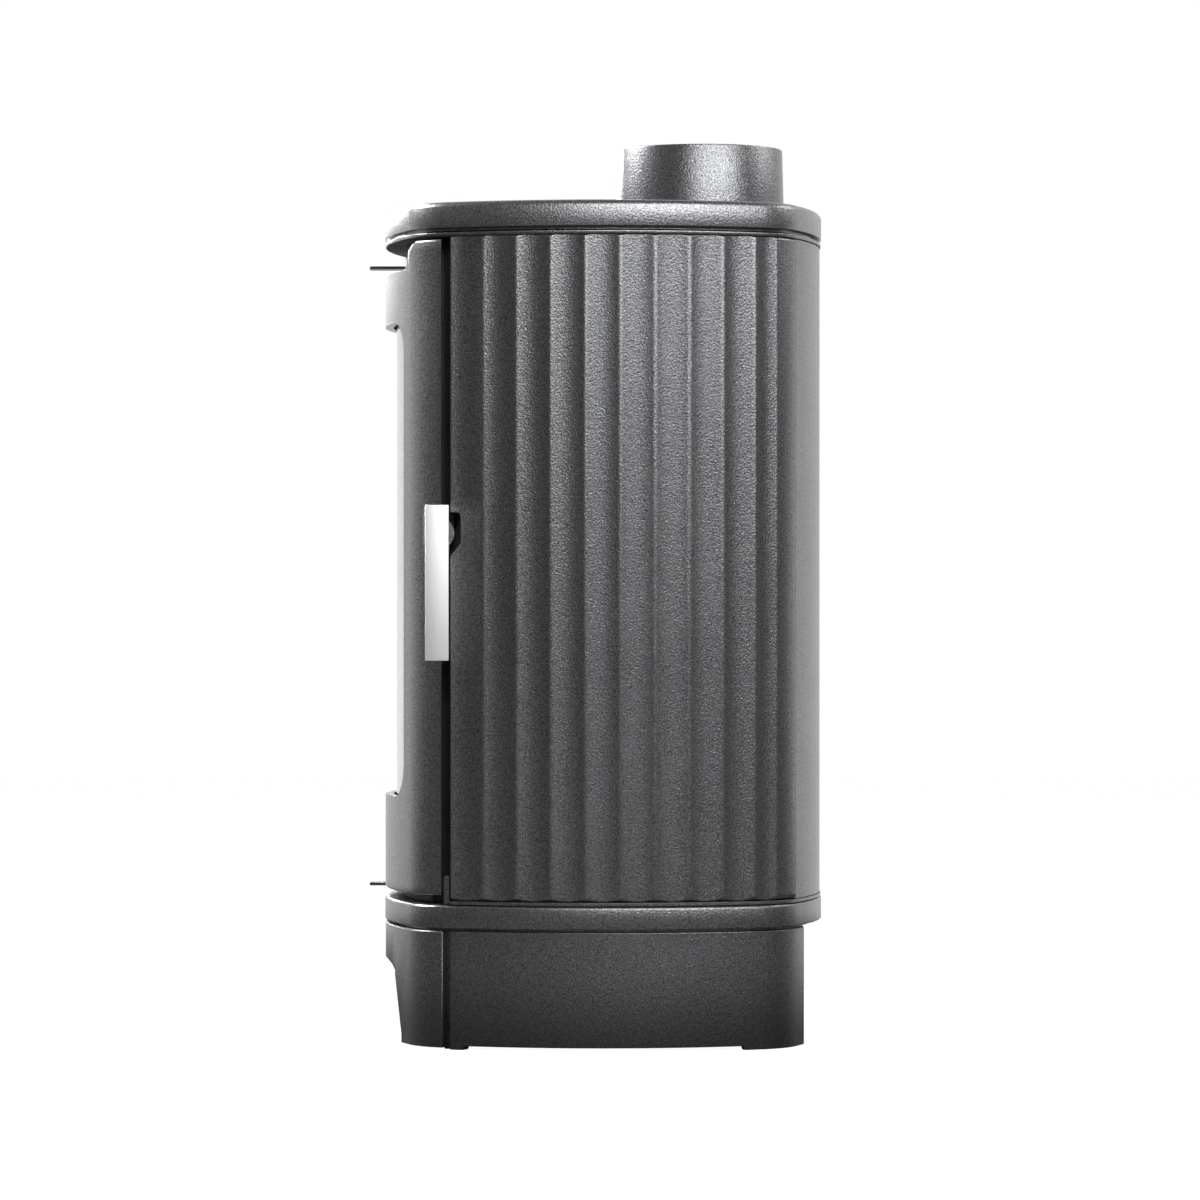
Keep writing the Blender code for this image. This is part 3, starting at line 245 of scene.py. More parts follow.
def welded_copy(node):
    """A builder with the node's mesh, its doubled points joined and its flat faces merged."""
    builder = bmesh.new()
    builder.from_mesh(frame["nodes"][node].data)
    bmesh.ops.remove_doubles(builder, verts=builder.verts, dist=CAD_WELD)
    bmesh.ops.dissolve_limit(builder, angle_limit=math.radians(0.3), verts=builder.verts,
                             edges=builder.edges, delimit={"NORMAL"})
    bmesh.ops.recalc_face_normals(builder, faces=builder.faces)
    return builder


def soften(piece, width):
    """Small rounded edges that catch the light."""
    modifier = piece.modifiers.new("soft edges", "BEVEL")
    modifier.width = width
    modifier.segments = 2
    modifier.limit_method = "ANGLE"
    modifier.angle_limit = math.radians(48)
    modifier.harden_normals = True
    modifier.use_clamp_overlap = True


def dressed(node, material, edge=0.0):
    """The node's own shape as a finished piece, with smooth bows and softened edges."""
    piece = new_piece(node + "_finished", welded_copy(node), material, body_of_node(node),
                      (node,))
    if edge:
        soften(piece, edge)
    return piece


def skin(builder, rows, closed=False):
    """Quads between neighbouring rings of vertices, and from the last to the first if closed."""
    following = rows[1:] + rows[:1] if closed else rows[1:]
    for low, high in zip(rows, following):
        for i in range(len(low)):
            j = (i + 1) % len(low)
            builder.faces.new((low[i], low[j], high[j], high[i]))


def bridged(rings):
    """A closed solid through rings of points, its two ends closed by strips of quads."""
    builder = bmesh.new()
    rows = [[builder.verts.new(point) for point in ring] for ring in rings]
    skin(builder, rows)
    for row in (rows[0], rows[-1]):
        for i in range(len(row) // 2 - 1):
            builder.faces.new((row[i], row[i + 1], row[-2 - i], row[-1 - i]))
    bmesh.ops.remove_doubles(builder, verts=builder.verts, dist=FINE_WELD)
    bmesh.ops.recalc_face_normals(builder, faces=builder.faces)
    return builder


# ---- Materials


def new_material(name):
    """A new material with its tree, its shader and the piece's own coordinates."""
    material = bpy.data.materials.new(name)
    material.use_nodes = True
    tree = material.node_tree
    shader = tree.nodes["Principled BSDF"]
    place = tree.nodes.new("ShaderNodeTexCoord")
    return material, tree, shader, place.outputs["Object"]


def add_noise(tree, place, scale, detail=2.0, roughness=0.5, stretch=None):
    """Noise of this scale; the stretch scales the three axes on their own."""
    if stretch:
        mapping = tree.nodes.new("ShaderNodeMapping")
        mapping.inputs["Scale"].default_value = stretch
        tree.links.new(place, mapping.inputs["Vector"])
        place = mapping.outputs["Vector"]
    noise = tree.nodes.new("ShaderNodeTexNoise")
    noise.inputs["Scale"].default_value = scale
    noise.inputs["Detail"].default_value = detail
    noise.inputs["Roughness"].default_value = roughness
    tree.links.new(place, noise.inputs["Vector"])
    return noise.outputs["Fac"]


def spread(tree, value, low, high, from_low=0.3, from_high=0.7):
    """A value's middle range spread between two levels."""
    node = tree.nodes.new("ShaderNodeMapRange")
    node.inputs["From Min"].default_value = from_low
    node.inputs["From Max"].default_value = from_high
    node.inputs["To Min"].default_value = low
    node.inputs["To Max"].default_value = high
    tree.links.new(value, node.inputs["Value"])
    return node.outputs["Result"]


def fading(tree, place, start, stop, along="X"):
    """Rises softly from 0 to 1 between two places along one axis."""
    split = tree.nodes.new("ShaderNodeSeparateXYZ")
    tree.links.new(place, split.inputs["Vector"])
    rise = tree.nodes.new("ShaderNodeMapRange")
    rise.interpolation_type = "SMOOTHSTEP"
    rise.inputs["From Min"].default_value = start
    rise.inputs["From Max"].default_value = stop
    rise.inputs["To Min"].default_value = 0.0
    rise.inputs["To Max"].default_value = 1.0
    tree.links.new(split.outputs[along], rise.inputs["Value"])
    return rise.outputs["Result"]


def feed(tree, socket, value):
    """Links the socket to an output, or sets it to a plain value."""
    if isinstance(value, bpy.types.NodeSocket):
        tree.links.new(value, socket)
    else:
        socket.default_value = value


def tinted(tree, value, low, high):
    """A colour between two tints."""
    mix = tree.nodes.new("ShaderNodeMix")
    mix.data_type = "RGBA"
    feed(tree, mix.inputs["A"], low)
    feed(tree, mix.inputs["B"], high)
    feed(tree, mix.inputs["Factor"], value)
    return mix.outputs["Result"]


def maths(tree, operation, a, b):
    """One sum on two values, each an output or a number."""
    node = tree.nodes.new("ShaderNodeMath")
    node.operation = operation
    feed(tree, node.inputs[0], a)
    feed(tree, node.inputs[1], b)
    return node.outputs["Value"]


def add_bump(tree, shader, height, distance, strength=1.0, under=None):
    """Fine relief on the shader, over the relief under it."""
    bump = tree.nodes.new("ShaderNodeBump")
    bump.inputs["Distance"].default_value = distance
    bump.inputs["Strength"].default_value = strength
    tree.links.new(height, bump.inputs["Height"])
    if under:
        tree.links.new(under, bump.inputs["Normal"])
    tree.links.new(bump.outputs["Normal"], shader.inputs["Normal"])
    return bump.outputs["Normal"]


def shade(colour, factor):
    """The colour made darker or lighter, and opaque."""
    return (*(min(1.0, part * factor) for part in colour[:3]), 1.0)


def stove_paint(finish, name="graphite_stove_paint", lit_tone=1.0, shade_top=0.0):
    """Satin graphite paint over a casting's sand grain; a lit tone above 1 lightens it as painted
    light, and up to the given height it darkens towards the floor as painted shade.
    """
    material, tree, shader, place = new_material(name)
    shader.inputs["Metallic"].default_value = finish.paint_metallic
    cloud = add_noise(tree, place, 14.0, 4.0, 0.6)
    grain = add_noise(tree, place, 1.0 / finish.grain_size, 3.0, 0.55)
    speck = add_noise(tree, place, 1.10 / finish.grain_size, 1.5, 0.55)
    # A lit tone above 1 lightens the whole paint as painted light
    colour = shade(finish.paint, lit_tone)
    dark, light, foot_shaded = shade(colour, 0.59), shade(colour, 1.43), shade(colour, 0.20)
    tint = tinted(tree, spread(tree, speck, 0.0, 1.0, 0.32, 0.68), dark, light)
    if shade_top:
        # Painted shade: up to the given height the colour and the gloss fall towards the floor
        unshaded_at_floor, full_gloss = 0.30, 0.5
        unshaded = spread(tree, fading(tree, place, 0.0, shade_top, "Z"), unshaded_at_floor, 1.0, 0.0, 1.0)
        tint = tinted(tree, unshaded, foot_shaded, tint)
        gloss = maths(tree, "MULTIPLY", unshaded, full_gloss)
        tree.links.new(gloss, shader.inputs["Specular IOR Level"])
    tree.links.new(tint, shader.inputs["Base Color"])
    rough = spread(tree, cloud, finish.paint_roughness - 0.01, finish.paint_roughness + 0.03)
    tree.links.new(rough, shader.inputs["Roughness"])
    under = add_bump(tree, shader, grain, finish.grain_height)
    add_bump(tree, shader, speck, finish.grain_height * 0.35, under=under)
    return material


def soot_and_shade_iron(finish, name="sooty_casting", metallic=0.45, gloss=0.5):
    """Bare casting near the fire: duller, with a film of soot; the same darks stand as painted
    shade on the top ring's underside.
    """
    material, tree, shader, place = new_material(name)
    shader.inputs["Metallic"].default_value = metallic
    shader.inputs["Specular IOR Level"].default_value = gloss
    cloud = add_noise(tree, place, 9.0, 5.0, 0.65)
    grain = add_noise(tree, place, 0.8 / finish.grain_size, 3.0, 0.6)
    soot_and_shade, bare = shade(finish.paint, 0.30), shade(finish.paint, 0.62)
    tree.links.new(tinted(tree, spread(tree, cloud, 0.0, 1.0), soot_and_shade, bare),
                   shader.inputs["Base Color"])
    tree.links.new(spread(tree, cloud, 0.78, 0.60), shader.inputs["Roughness"])
    add_bump(tree, shader, grain, finish.grain_height * 1.3)
    return material


def rolled_steel(finish):
    """Dulled mild steel with faint rolling marks."""
    material, tree, shader, place = new_material("rolled_mild_steel")
    shader.inputs["Metallic"].default_value = 1.0
    marks = add_noise(tree, place, 500.0, 2.0, 0.5, (0.05, 1.0, 1.0))
    cloud = add_noise(tree, place, 22.0, 4.0, 0.6)
    tint = tinted(tree, spread(tree, cloud, 0.0, 1.0), shade(finish.steel, 0.70),
                  shade(finish.steel, 1.15))
    tree.links.new(tint, shader.inputs["Base Color"])
    tree.links.new(spread(tree, marks, 0.38, 0.52), shader.inputs["Roughness"])
    add_bump(tree, shader, marks, 0.00003)
    return material


def bright_bar(finish):
    """Satin stainless with fine lines along the bar."""
    material, tree, shader, place = new_material("satin_stainless")
    shader.inputs["Metallic"].default_value = 1.0
    lines = add_noise(tree, place, 2400.0, 2.0, 0.5, (1.0, 1.0, 0.02))
    tint = tinted(tree, spread(tree, lines, 0.0, 1.0), shade(finish.bright, 0.95),
                  shade(finish.bright, 1.0))
    tree.links.new(tint, shader.inputs["Base Color"])
    tree.links.new(spread(tree, lines, 0.58, 0.66), shader.inputs["Roughness"])
    add_bump(tree, shader, lines, 0.00001)
    return material


def fire_glass(finish):
    """Clear ceramic glass with a faint, uneven haze."""
    material, tree, shader, place = new_material("ceramic_fire_glass")
    shader.inputs["Base Color"].default_value = (*finish.glass, 1.0)
    shader.inputs["Transmission Weight"].default_value = 1.0
    shader.inputs["IOR"].default_value = 1.5
    haze = add_noise(tree, place, 11.0, 4.0, 0.6)
    tree.links.new(spread(tree, haze, 0.02, 0.07), shader.inputs["Roughness"])
    return material


def refractory(finish):
    """Firebrick: pale, porous, with darker pores and a little soot."""
    material, tree, shader, place = new_material("firebrick")
    cloud = add_noise(tree, place, 16.0, 5.0, 0.6)
    pores = tree.nodes.new("ShaderNodeTexVoronoi")
    pores.inputs["Scale"].default_value = 260.0
    tree.links.new(place, pores.inputs["Vector"])
    tint = tinted(tree, spread(tree, cloud, 0.0, 1.0, 0.35, 0.75), shade(finish.brick, 1.0),
                  shade(finish.brick, 0.55))
    tree.links.new(tint, shader.inputs["Base Color"])
    shader.inputs["Roughness"].default_value = 0.93
    under = add_bump(tree, shader, pores.outputs["Distance"], 0.0005, 0.6)
    add_bump(tree, shader, add_noise(tree, place, 420.0, 3.0, 0.6), 0.0003, 0.7, under)
    return material


def glass_yarn(finish):
    """Matt glass-fibre yarn: fine threads across the strands."""
    material, tree, shader, place = new_material("glass_fibre_yarn")
    shader.inputs["Sheen Weight"].default_value = 0.25
    shader.inputs["Sheen Roughness"].default_value = 0.5
    shader.inputs["Roughness"].default_value = 0.92
    thread = add_noise(tree, place, 1900.0, 3.0, 0.7)
    tint = tinted(tree, spread(tree, thread, 0.0, 1.0), shade(finish.rope, 0.6),
                  shade(finish.rope, 1.5))
    tree.links.new(tint, shader.inputs["Base Color"])
    add_bump(tree, shader, thread, 0.0002)
    return material


# ---- Pieces


def flute_width(plan, i):
    """Width of one flute with its ridge, counted from the front."""
    return plan.last_flute if i == plan.flute_count else plan.flute_pitch


def flute_hollow(plan, length):
    """Depth of the fluted face below its ridges at this length along the side."""
    i = math.floor((length - plan.flute_start) / plan.flute_pitch + 1e-6)
    i = max(0, min(i, plan.flute_count))
    start = plan.flute_start + i * plan.flute_pitch
    share = (length - start - plan.ridge_width / 2) / (flute_width(plan, i) - plan.ridge_width)
    if not 0 < share < 1:
        return 0.0
    return plan.flute_depth * (1 - (2 * share - 1) ** 2)


def rounded_edges(low, high, foot, head, steps=6):
    """Heights and setbacks of an upright wall with a rounded foot and a rounded head."""
    turns = [math.pi / 2 * i / steps for i in range(steps + 1)]
    profile = [(low + foot * (1 - math.cos(turn)), foot * (1 - math.sin(turn))) for turn in turns]
    return profile + [(high - head * (1 - math.cos(turn)), head * (1 - math.sin(turn)))
                      for turn in reversed(turns)]


def fluted_panel(plan, material, node, side):
    """One side panel with round hollow flutes and its rounded edges."""
    flute_steps, corner_steps, rear_joint = 18, 16, 68.0
    foot_edge, head_edge = 0.005, 0.002
    lengths, start = [], plan.flute_start
    for i in range(plan.flute_count + 1):
        hollow = flute_width(plan, i) - plan.ridge_width
        lengths += [start + plan.ridge_width / 2 + hollow * j / flute_steps
                    for j in range(flute_steps + 1)]
        start += flute_width(plan, i)
    front_edge = [(plan.flute_start + along, plan.panel_inset + down)
                  for along, down in ((0, 0.0007), (0.0002, 0.0002), (0.0007, 0))]
    columns = [(angle_at(plan, length), inset) for length, inset in front_edge]
    columns += [(angle_at(plan, length), plan.panel_inset + flute_hollow(plan, length))
                for length in lengths]
    last, first = columns[-1][0], columns[0][0]
    columns += [(last + (rear_joint - last) * i / corner_steps, plan.panel_inset)
                for i in range(1, corner_steps + 1)]
    count = len(columns)
    inner = [first + (rear_joint - first) * i / (count - 1) for i in range(count)]
    low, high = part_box(node)[0].z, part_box(node)[1].z
    back = plan.panel_inset + plan.panel_wall
    rings = []
    for z, edge in rounded_edges(low, high, foot_edge, head_edge):
        ring = [plan_point(plan, angle, max(inset, plan.panel_inset + edge))
                for angle, inset in columns]
        ring += [plan_point(plan, angle, back) for angle in reversed(inner)]
        rings.append([(side * x, y, z) for x, y in ring])
    return new_piece(node + "_fluted", bridged(rings), material, body_of_node(node),
                     (node,), 50.0)


def guide(name, start, stop):
    """A prism between two outlines that only guides a Boolean."""
    builder = bmesh.new()
    rows = [[builder.verts.new(point) for point in row] for row in (start, stop)]
    skin(builder, rows)
    for row in rows:
        builder.faces.new(row)
    bmesh.ops.recalc_face_normals(builder, faces=builder.faces)
    cutter = bpy.data.objects.new(name, bpy.data.meshes.new(name))
    builder.to_mesh(cutter.data)
    builder.free()
    bpy.context.scene.collection.objects.link(cutter)
    return cutter


def notch_cutter(plan):
    """The D-shaped notch that clears the latch boss."""
    low, high, bend, steps = 0.4170, 0.4563, 0.004, 5
    inner_x, outer_x = 0.14, 0.21
    rear = plan.set_back - 0.1210
    edge = plan_point(plan, angle_at(plan, plan.flute_start)).y
    before, slope = edge - 0.01, rear - edge
    corners = [(before, low - 0.002), (edge + 0.001, low + 0.002), (rear, low + slope + 0.003)]
    for i in range(steps + 1):
        turn = math.pi / 2 * i / steps
        corners.append((rear - bend + bend * math.cos(turn), high - bend + bend * math.sin(turn)))
    corners.append((before, high))
    return guide("latch_notch", [(inner_x, y, z) for y, z in corners],
                 [(outer_x, y, z) for y, z in corners])


def rail_cutter():
    """What the top rail leaves free between the door's two wings."""
    front_y, rear_y = -0.22, -0.12
    half = [(0.1500, 0.7000), (0.1500, 0.6898), (0.1335, 0.6792), (0.1308, 0.6700),
            (0.1300, 0.6665), (0.1285, 0.6650), (0.1260, 0.6645)]
    corners = half + [(-x, z) for x, z in reversed(half)]
    return guide("rail_step", [(x, front_y, z) for x, z in corners],
                 [(x, rear_y, z) for x, z in corners])


def edge_cutter(low, high):
    """What the door's free edge leaves open beside the panel, above or below the latch."""
    inner_x, outer_x, front_y, rear_y = 0.12, 0.22, -0.1292, -0.10
    corners = [(inner_x, front_y), (outer_x, front_y), (outer_x, rear_y), (inner_x, rear_y)]
    return guide("edge_gap", [(x, y, low) for x, y in corners], [(x, y, high) for x, y in corners])


def apply_cut(piece, cutter):
    """Cuts the piece and takes the guide away."""
    modifier = piece.modifiers.new("cut", "BOOLEAN")
    modifier.object = cutter
    modifier.solver = "EXACT"
    bpy.context.view_layer.update()
    seen = piece.evaluated_get(bpy.context.evaluated_depsgraph_get())
    cut = bpy.data.meshes.new_from_object(seen)
    piece.modifiers.clear()
    piece.data = cut
    bpy.data.objects.remove(cutter)


def split_across(piece, heights):
    """Splits long upright faces at these heights, so that their shading stays even."""
    builder = bmesh.new()
    builder.from_mesh(piece.data)
    for z in heights:
        parts = builder.verts[:] + builder.edges[:] + builder.faces[:]
        bmesh.ops.bisect_plane(builder, geom=parts, plane_co=(0, 0, z), plane_no=(0, 0, 1))
    builder.to_mesh(piece.data)
    builder.free()


def seal_route(plan):
    """Points of the rope's middle line round the door, each with its outward normal angle."""
    depth, run_turn, bend = 0.01275, 60.0, 0.020
    low, high = 0.1430, 0.6580
    bend_steps, lay_steps, rise_steps = 16, 60, 200
    end_turn = plan_centres(plan)[4]
    short = math.radians(end_turn - run_turn) * (plan.corner_radius - depth)

    def turn_at(length):
        if length <= short:
            return run_turn + math.degrees(length / (plan.corner_radius - depth))
        return end_turn + math.degrees((length - short) / (plan.end_radius - depth))

    bends = []
    for i in range(bend_steps + 1):
        turn = math.pi / 2 * i / bend_steps
        bends.append((turn_at(bend * (1 - math.sin(turn))), bend * (1 - math.cos(turn))))
    lay = [-90 + (90 - bends[0][0]) * i / lay_steps for i in range(lay_steps)]
    rise = [low + bend + (high - low - 2 * bend) * i / rise_steps for i in range(1, rise_steps)]
    right = [(angle, low) for angle in lay] + [(-angle, low + up) for angle, up in bends]
    right += [(-run_turn, z) for z in rise]
    right += [(-angle, high - up) for angle, up in reversed(bends)]
    right += [(angle, high) for angle in reversed(lay)]
    loop = right + [(-180 - angle, z) for angle, z in reversed(right[1:-1])]
    return [((*plan_point(plan, angle, depth), z), angle) for angle, z in loop]


def resampled(route, step):
    """Even points round a closed route, each with its outward normal angle."""
    points = [Vector(point) for point, _ in route]
    angles = [angle for _, angle in route]
    lengths = [0.0]
    for i in range(len(points)):
        lengths.append(lengths[-1] + (points[(i + 1) % len(points)] - points[i]).length)
    count = round(lengths[-1] / step)
    found, k = [], 0
    for i in range(count):
        target = lengths[-1] * i / count
        while lengths[k + 1] < target:
            k += 1
        share = (target - lengths[k]) / max(1e-9, lengths[k + 1] - lengths[k])
        j = (k + 1) % len(points)
        gap = (angles[j] - angles[k] + 180) % 360 - 180
        found.append((points[k].lerp(points[j], share), angles[k] + gap * share))
    return found


def braided_rope(plan, material):
    """The door's rope as a braid: two sets of strands crossing round a soft core."""
    step, lay = 0.0011, 0.011
    radius, relief, sides, strands = 0.00455, 0.00038, 20, 4
    route = resampled(seal_route(plan), step)
    count = len(route)
    windings = round(count * step / lay)
    builder = bmesh.new()
    rows = []
    for i, (point, angle) in enumerate(route):
        ahead = (route[(i + 1) % count][0] - route[i - 1][0]).normalized()
        out = Vector((math.cos(math.radians(angle)), math.sin(math.radians(angle)), 0))
        out = (out - ahead * out.dot(ahead)).normalized()
        across = ahead.cross(out)
        along = 2 * math.pi * windings * i / count
        row = []
        for j in range(sides):
            turn = 2 * math.pi * j / sides
            strand = max(math.cos(strands * turn + along), math.cos(strands * turn - along))
            reach = radius + relief * (strand - 0.5)
            spoke = out * (reach * math.cos(turn)) + across * (reach * math.sin(turn))
            row.append(builder.verts.new(point + spoke))
        rows.append(row)
    skin(builder, rows, closed=True)
    bmesh.ops.recalc_face_normals(builder, faces=builder.faces)
    return new_piece("door_rope_braid", builder, material, body_of_node("rope_seal"),
                     ("rope_seal",), 80.0)


def rounded_reach(turn, half_x, half_z, corner):
    """Distance from a rounded rectangle's middle to its edge in this direction, by halving."""
    cosine, sine = abs(math.cos(turn)), abs(math.sin(turn))
    near, far = 0.0, half_x + half_z
    for _ in range(26):
        reach = (near + far) / 2
        x, z = reach * cosine, reach * sine
        round_off = math.hypot(max(x - (half_x - corner), 0), max(z - (half_z - corner), 0))
        if round_off < corner and x < half_x and z < half_z:
            near = reach
        else:
            far = reach
    return near


def woven_tape(plan, material):
    """The flat glass tape, a woven band round the edge of the glass."""
    front_inset, thickness, steps = 0.0078, 0.0022, 160
    low, high, outer_half, outer_corner = 0.200, 0.633, 0.134, 0.002
    inner_low, inner_high, inner_half, inner_corner = 0.210, 0.623, 0.124, 0.029
    section = ((0, 0.1), (0.25, 0), (0.5, 0), (0.75, 0), (1, 0.1), (1, 0.9), (0.5, 1), (0, 0.9))
    middle = (low + high) / 2
    builder = bmesh.new()
    rows = []
    for i in range(steps):
        turn = 2 * math.pi * i / steps
        outer = rounded_reach(turn, outer_half, (high - low) / 2, outer_corner)
        inner = rounded_reach(turn, inner_half, (inner_high - inner_low) / 2, inner_corner)
        row = []
        for share, depth in section:
            reach = inner + (outer - inner) * share
            x, z = reach * math.cos(turn), middle + reach * math.sin(turn)
            bow = math.sqrt((plan.end_radius - front_inset - thickness * depth) ** 2 - x * x)
            y = plan.end_radius - plan.depth / 2 - bow + plan.set_back
            row.append(builder.verts.new((x, y, z)))
        rows.append(row)
    skin(builder, rows, closed=True)
    bmesh.ops.recalc_face_normals(builder, faces=builder.faces)
    return new_piece("glass_tape_weave", builder, material, body_of_node("glass_gasket"),
                     ("glass_gasket",), 60.0)


def pan_head(place, direction, material, name, body):
    """A pan-head screw whose head lies on a surface."""
    radius, height, sides = 0.0032, 0.0012, 24
    profile = ((0.0, 1.0), (0.45, 0.97), (0.75, 0.82), (0.95, 0.5), (1.0, 0.0), (0.0, 0.0))
    turns = [2 * math.pi * i / sides for i in range(sides)]
    builder = bmesh.new()
    rows = []
    for share, up in profile:
        reach = radius * share
        rows.append([builder.verts.new((reach * math.cos(turn), reach * math.sin(turn),
                                        height * up)) for turn in turns])
    skin(builder, rows)
    bmesh.ops.remove_doubles(builder, verts=builder.verts, dist=FINE_WELD)
    bmesh.ops.recalc_face_normals(builder, faces=builder.faces)
    tilt = Vector((0, 0, 1)).rotation_difference(Vector(direction).normalized())
    bmesh.ops.transform(builder, matrix=Matrix.Translation(place) @ tilt.to_matrix().to_4x4(),
                        verts=builder.verts)
    return new_piece(name, builder, material, body, crease=40.0)


def top_ring(plan, paint, underside_shade):
    """The ring under the top plate: its outer edge dips away, and its underside gets a dull
    near-black finish as painted shade.
    """
    rim_low, rim_width, dip = 0.6940, 0.006, 0.0013
    ring = dressed("top_frame", paint)
    ring.data.materials.append(underside_shade)
    # Painted shade: the faces that look down take the dull dark finish that stands for the shade
    # under the plate
    for face in ring.data.polygons:
        if face.normal.z < -0.9:
            face.material_index = 1
    outline = [plan_point(plan, angle) for angle in range(0, 360, 2)]
    for vertex in ring.data.vertices:
        co = vertex.co
        if co.z > rim_low and min((co.xy - point).length for point in outline) < rim_width:
            vertex.co.z -= dip


def stepped_door(paint):
    """The door casting, its top rail stepped down and its free edge set back round the latch."""
    door_low, latch_low, latch_high, door_high = 0.10, 0.4215, 0.4555, 0.72
    door = dressed("door_casting", paint)
    apply_cut(door, rail_cutter())
    apply_cut(door, edge_cutter(door_low, latch_low))
    apply_cut(door, edge_cutter(latch_high, door_high))
    split_across(door, (0.137, 0.165, 0.195, 0.416, 0.460, 0.632, 0.655, 0.680))
    door.data.shade_smooth()
    door.data.set_sharp_from_angle(angle=math.radians(CREASE))
    soften(door, 0.0008)


# ---- Studio


def seen_white(tree, place, start, stop):
    """1 to the camera and to glass, 0 to all else, and rising from 0 to 1 along X for gloss."""
    path = tree.nodes.new("ShaderNodeLightPath")
    gloss = maths(tree, "MULTIPLY", path.outputs["Is Glossy Ray"],
                  fading(tree, place, start, stop))
    seen = maths(tree, "MAXIMUM", path.outputs["Is Camera Ray"],
                 path.outputs["Is Transmission Ray"])
    return maths(tree, "MAXIMUM", seen, gloss)


def add_floor():
    """A plain white floor that shows white to the camera and keeps a soft shadow."""
    half_size, level, grey, white = 7.0, -0.0002, 0.14, 0.97
    builder = bmesh.new()
    bmesh.ops.create_grid(builder, x_segments=8, y_segments=8, size=half_size)
    mesh = bpy.data.meshes.new("studio_floor")
    builder.to_mesh(mesh)
    builder.free()
    floor = bpy.data.objects.new("studio_floor", mesh)
    floor.location.z = level
    bpy.context.scene.collection.objects.link(floor)
    material, tree, shader, place = new_material("white_floor")
    shader.inputs["Base Color"].default_value = (grey, grey, grey, 1.0)
    shader.inputs["Roughness"].default_value = 0.9
    shader.inputs["Specular IOR Level"].default_value = 0.0
    shader.inputs["Emission Color"].default_value = (1.0, 1.0, 1.0, 1.0)
    seen = seen_white(tree, place, -0.25, -1.30)
    tree.links.new(maths(tree, "MULTIPLY", seen, white), shader.inputs["Emission Strength"])
    mesh.materials.append(material)


def add_room(studio):
    """Even room light; white to the camera, to glass, and to gloss where the backdrop stands."""
    world = bpy.data.worlds.new("studio_room")
    bpy.context.scene.world = world
    world.use_nodes = True
    tree = world.node_tree
    light = tree.nodes["Background"]
    direction = tree.nodes.new("ShaderNodeTexCoord").outputs["Generated"]
    white = seen_white(tree, direction, -0.12, -0.68)
    level = maths(tree, "ADD", maths(tree, "MULTIPLY", white, 1.0 - studio.room), studio.room)
    tree.links.new(level, light.inputs["Strength"])
    light.inputs["Color"].default_value = (1.0, 1.0, 1.0, 1.0)


def add_soft_box(name, power, place, target, size, beam=180.0):
    """A soft box aimed at a target; a narrow beam, in degrees, keeps its light together."""
    light = bpy.data.lights.new(name, "AREA")
    light.shape = "RECTANGLE"
    light.size, light.size_y = size
    light.energy = power
    light.spread = math.radians(beam)
    box = bpy.data.objects.new(name, light)
    box.location = place
    box.rotation_euler = (Vector(target) - Vector(place)).to_track_quat("-Z", "Y").to_euler()
    bpy.context.scene.collection.objects.link(box)


def add_camera(studio):
    """A level camera at the stove's right side, as the photo was taken."""
    lens = bpy.data.cameras.new("photo_camera")
    lens.sensor_width = 36.0
    lens.lens = studio.lens
    lens.shift_y = studio.shift_y
    lens.clip_end = 60.0
    camera = bpy.data.objects.new("photo_camera", lens)
    camera.location = (studio.camera_x, studio.camera_y, studio.camera_z)
    camera.rotation_euler = (math.radians(90), 0, math.radians(90))
    bpy.context.scene.collection.objects.link(camera)
    bpy.context.scene.camera = camera


# ---- Operators


def settings():
    """The plan, the finish and the studio."""
    scene = bpy.context.scene
    return scene.stove_plan, scene.stove_finish, scene.stove_studio


def shared(name, maker, finish):
    """The material of this name, made on first use."""
    return bpy.data.materials.get(name) or maker(finish)


class STOVE_OT_side_panels(bpy.types.Operator):
    """Make the two fluted side panels"""

    bl_idname = "stove.side_panels"
    bl_label = "Fluted side panels"

    def execute(self, context):
        plan, finish, _ = settings()
        paint = shared("graphite_stove_paint", stove_paint, finish)
        right = fluted_panel(plan, paint, "side_panel_right", 1)
        fluted_panel(plan, paint, "side_panel_left", -1)
        apply_cut(right, notch_cutter(plan))
        return {"FINISHED"}


class STOVE_OT_outer_castings(bpy.types.Operator):
    """Finish the outer castings with stove paint"""

    bl_idname = "stove.outer_castings"
    bl_label = "Outer castings"

    def execute(self, context):
        plan, finish, _ = settings()
        paint = shared("graphite_stove_paint", stove_paint, finish)
        # The ring's underside takes a dull near-black finish as painted shade
        top_ring(plan, paint, soot_and_shade_iron(finish, "painted_shade_underside", metallic=0.0, gloss=0.1))
        # Painted light: the top plate's paint is a quarter lighter, for the stronger light on the
        # top
        dressed("top_plate", stove_paint(finish, "graphite_plate_painted_light", lit_tone=1.25))
        for node, edge in (("base_plate", 0.0), ("flue_collar", 0.0), ("panel_strip", 0.0003),
                           ("rear_panel", 0.0005), ("door_rest", 0.0004)):
            dressed(node, paint, edge)
        # Plinth and apron: the paint darkens towards the floor as painted shade
        foot_shaded = stove_paint(finish, "graphite_plinth_painted_shade", shade_top=finish.foot_shade_height)
        for node in ("plinth", "front_apron"):
            dressed(node, foot_shaded, 0.0006)
        return {"FINISHED"}


class STOVE_OT_door(bpy.types.Operator):
    """Finish the door casting and step its top rail down between the wings"""

    bl_idname = "stove.door"
    bl_label = "Door casting"

    def execute(self, context):
        _, finish, _ = settings()
        stepped_door(shared("graphite_stove_paint", stove_paint, finish))
        return {"FINISHED"}


class STOVE_OT_inner_castings(bpy.types.Operator):
    """Finish the castings round the fire"""

    bl_idname = "stove.inner_castings"
    bl_label = "Inner castings"

    def execute(self, context):
        _, finish, _ = settings()
        iron = shared("sooty_casting", soot_and_shade_iron, finish)
        for node in ("front_frame", "hearth_plate", "grate", "log_guard"):
            dressed(node, iron, 0.0006)
        return {"FINISHED"}


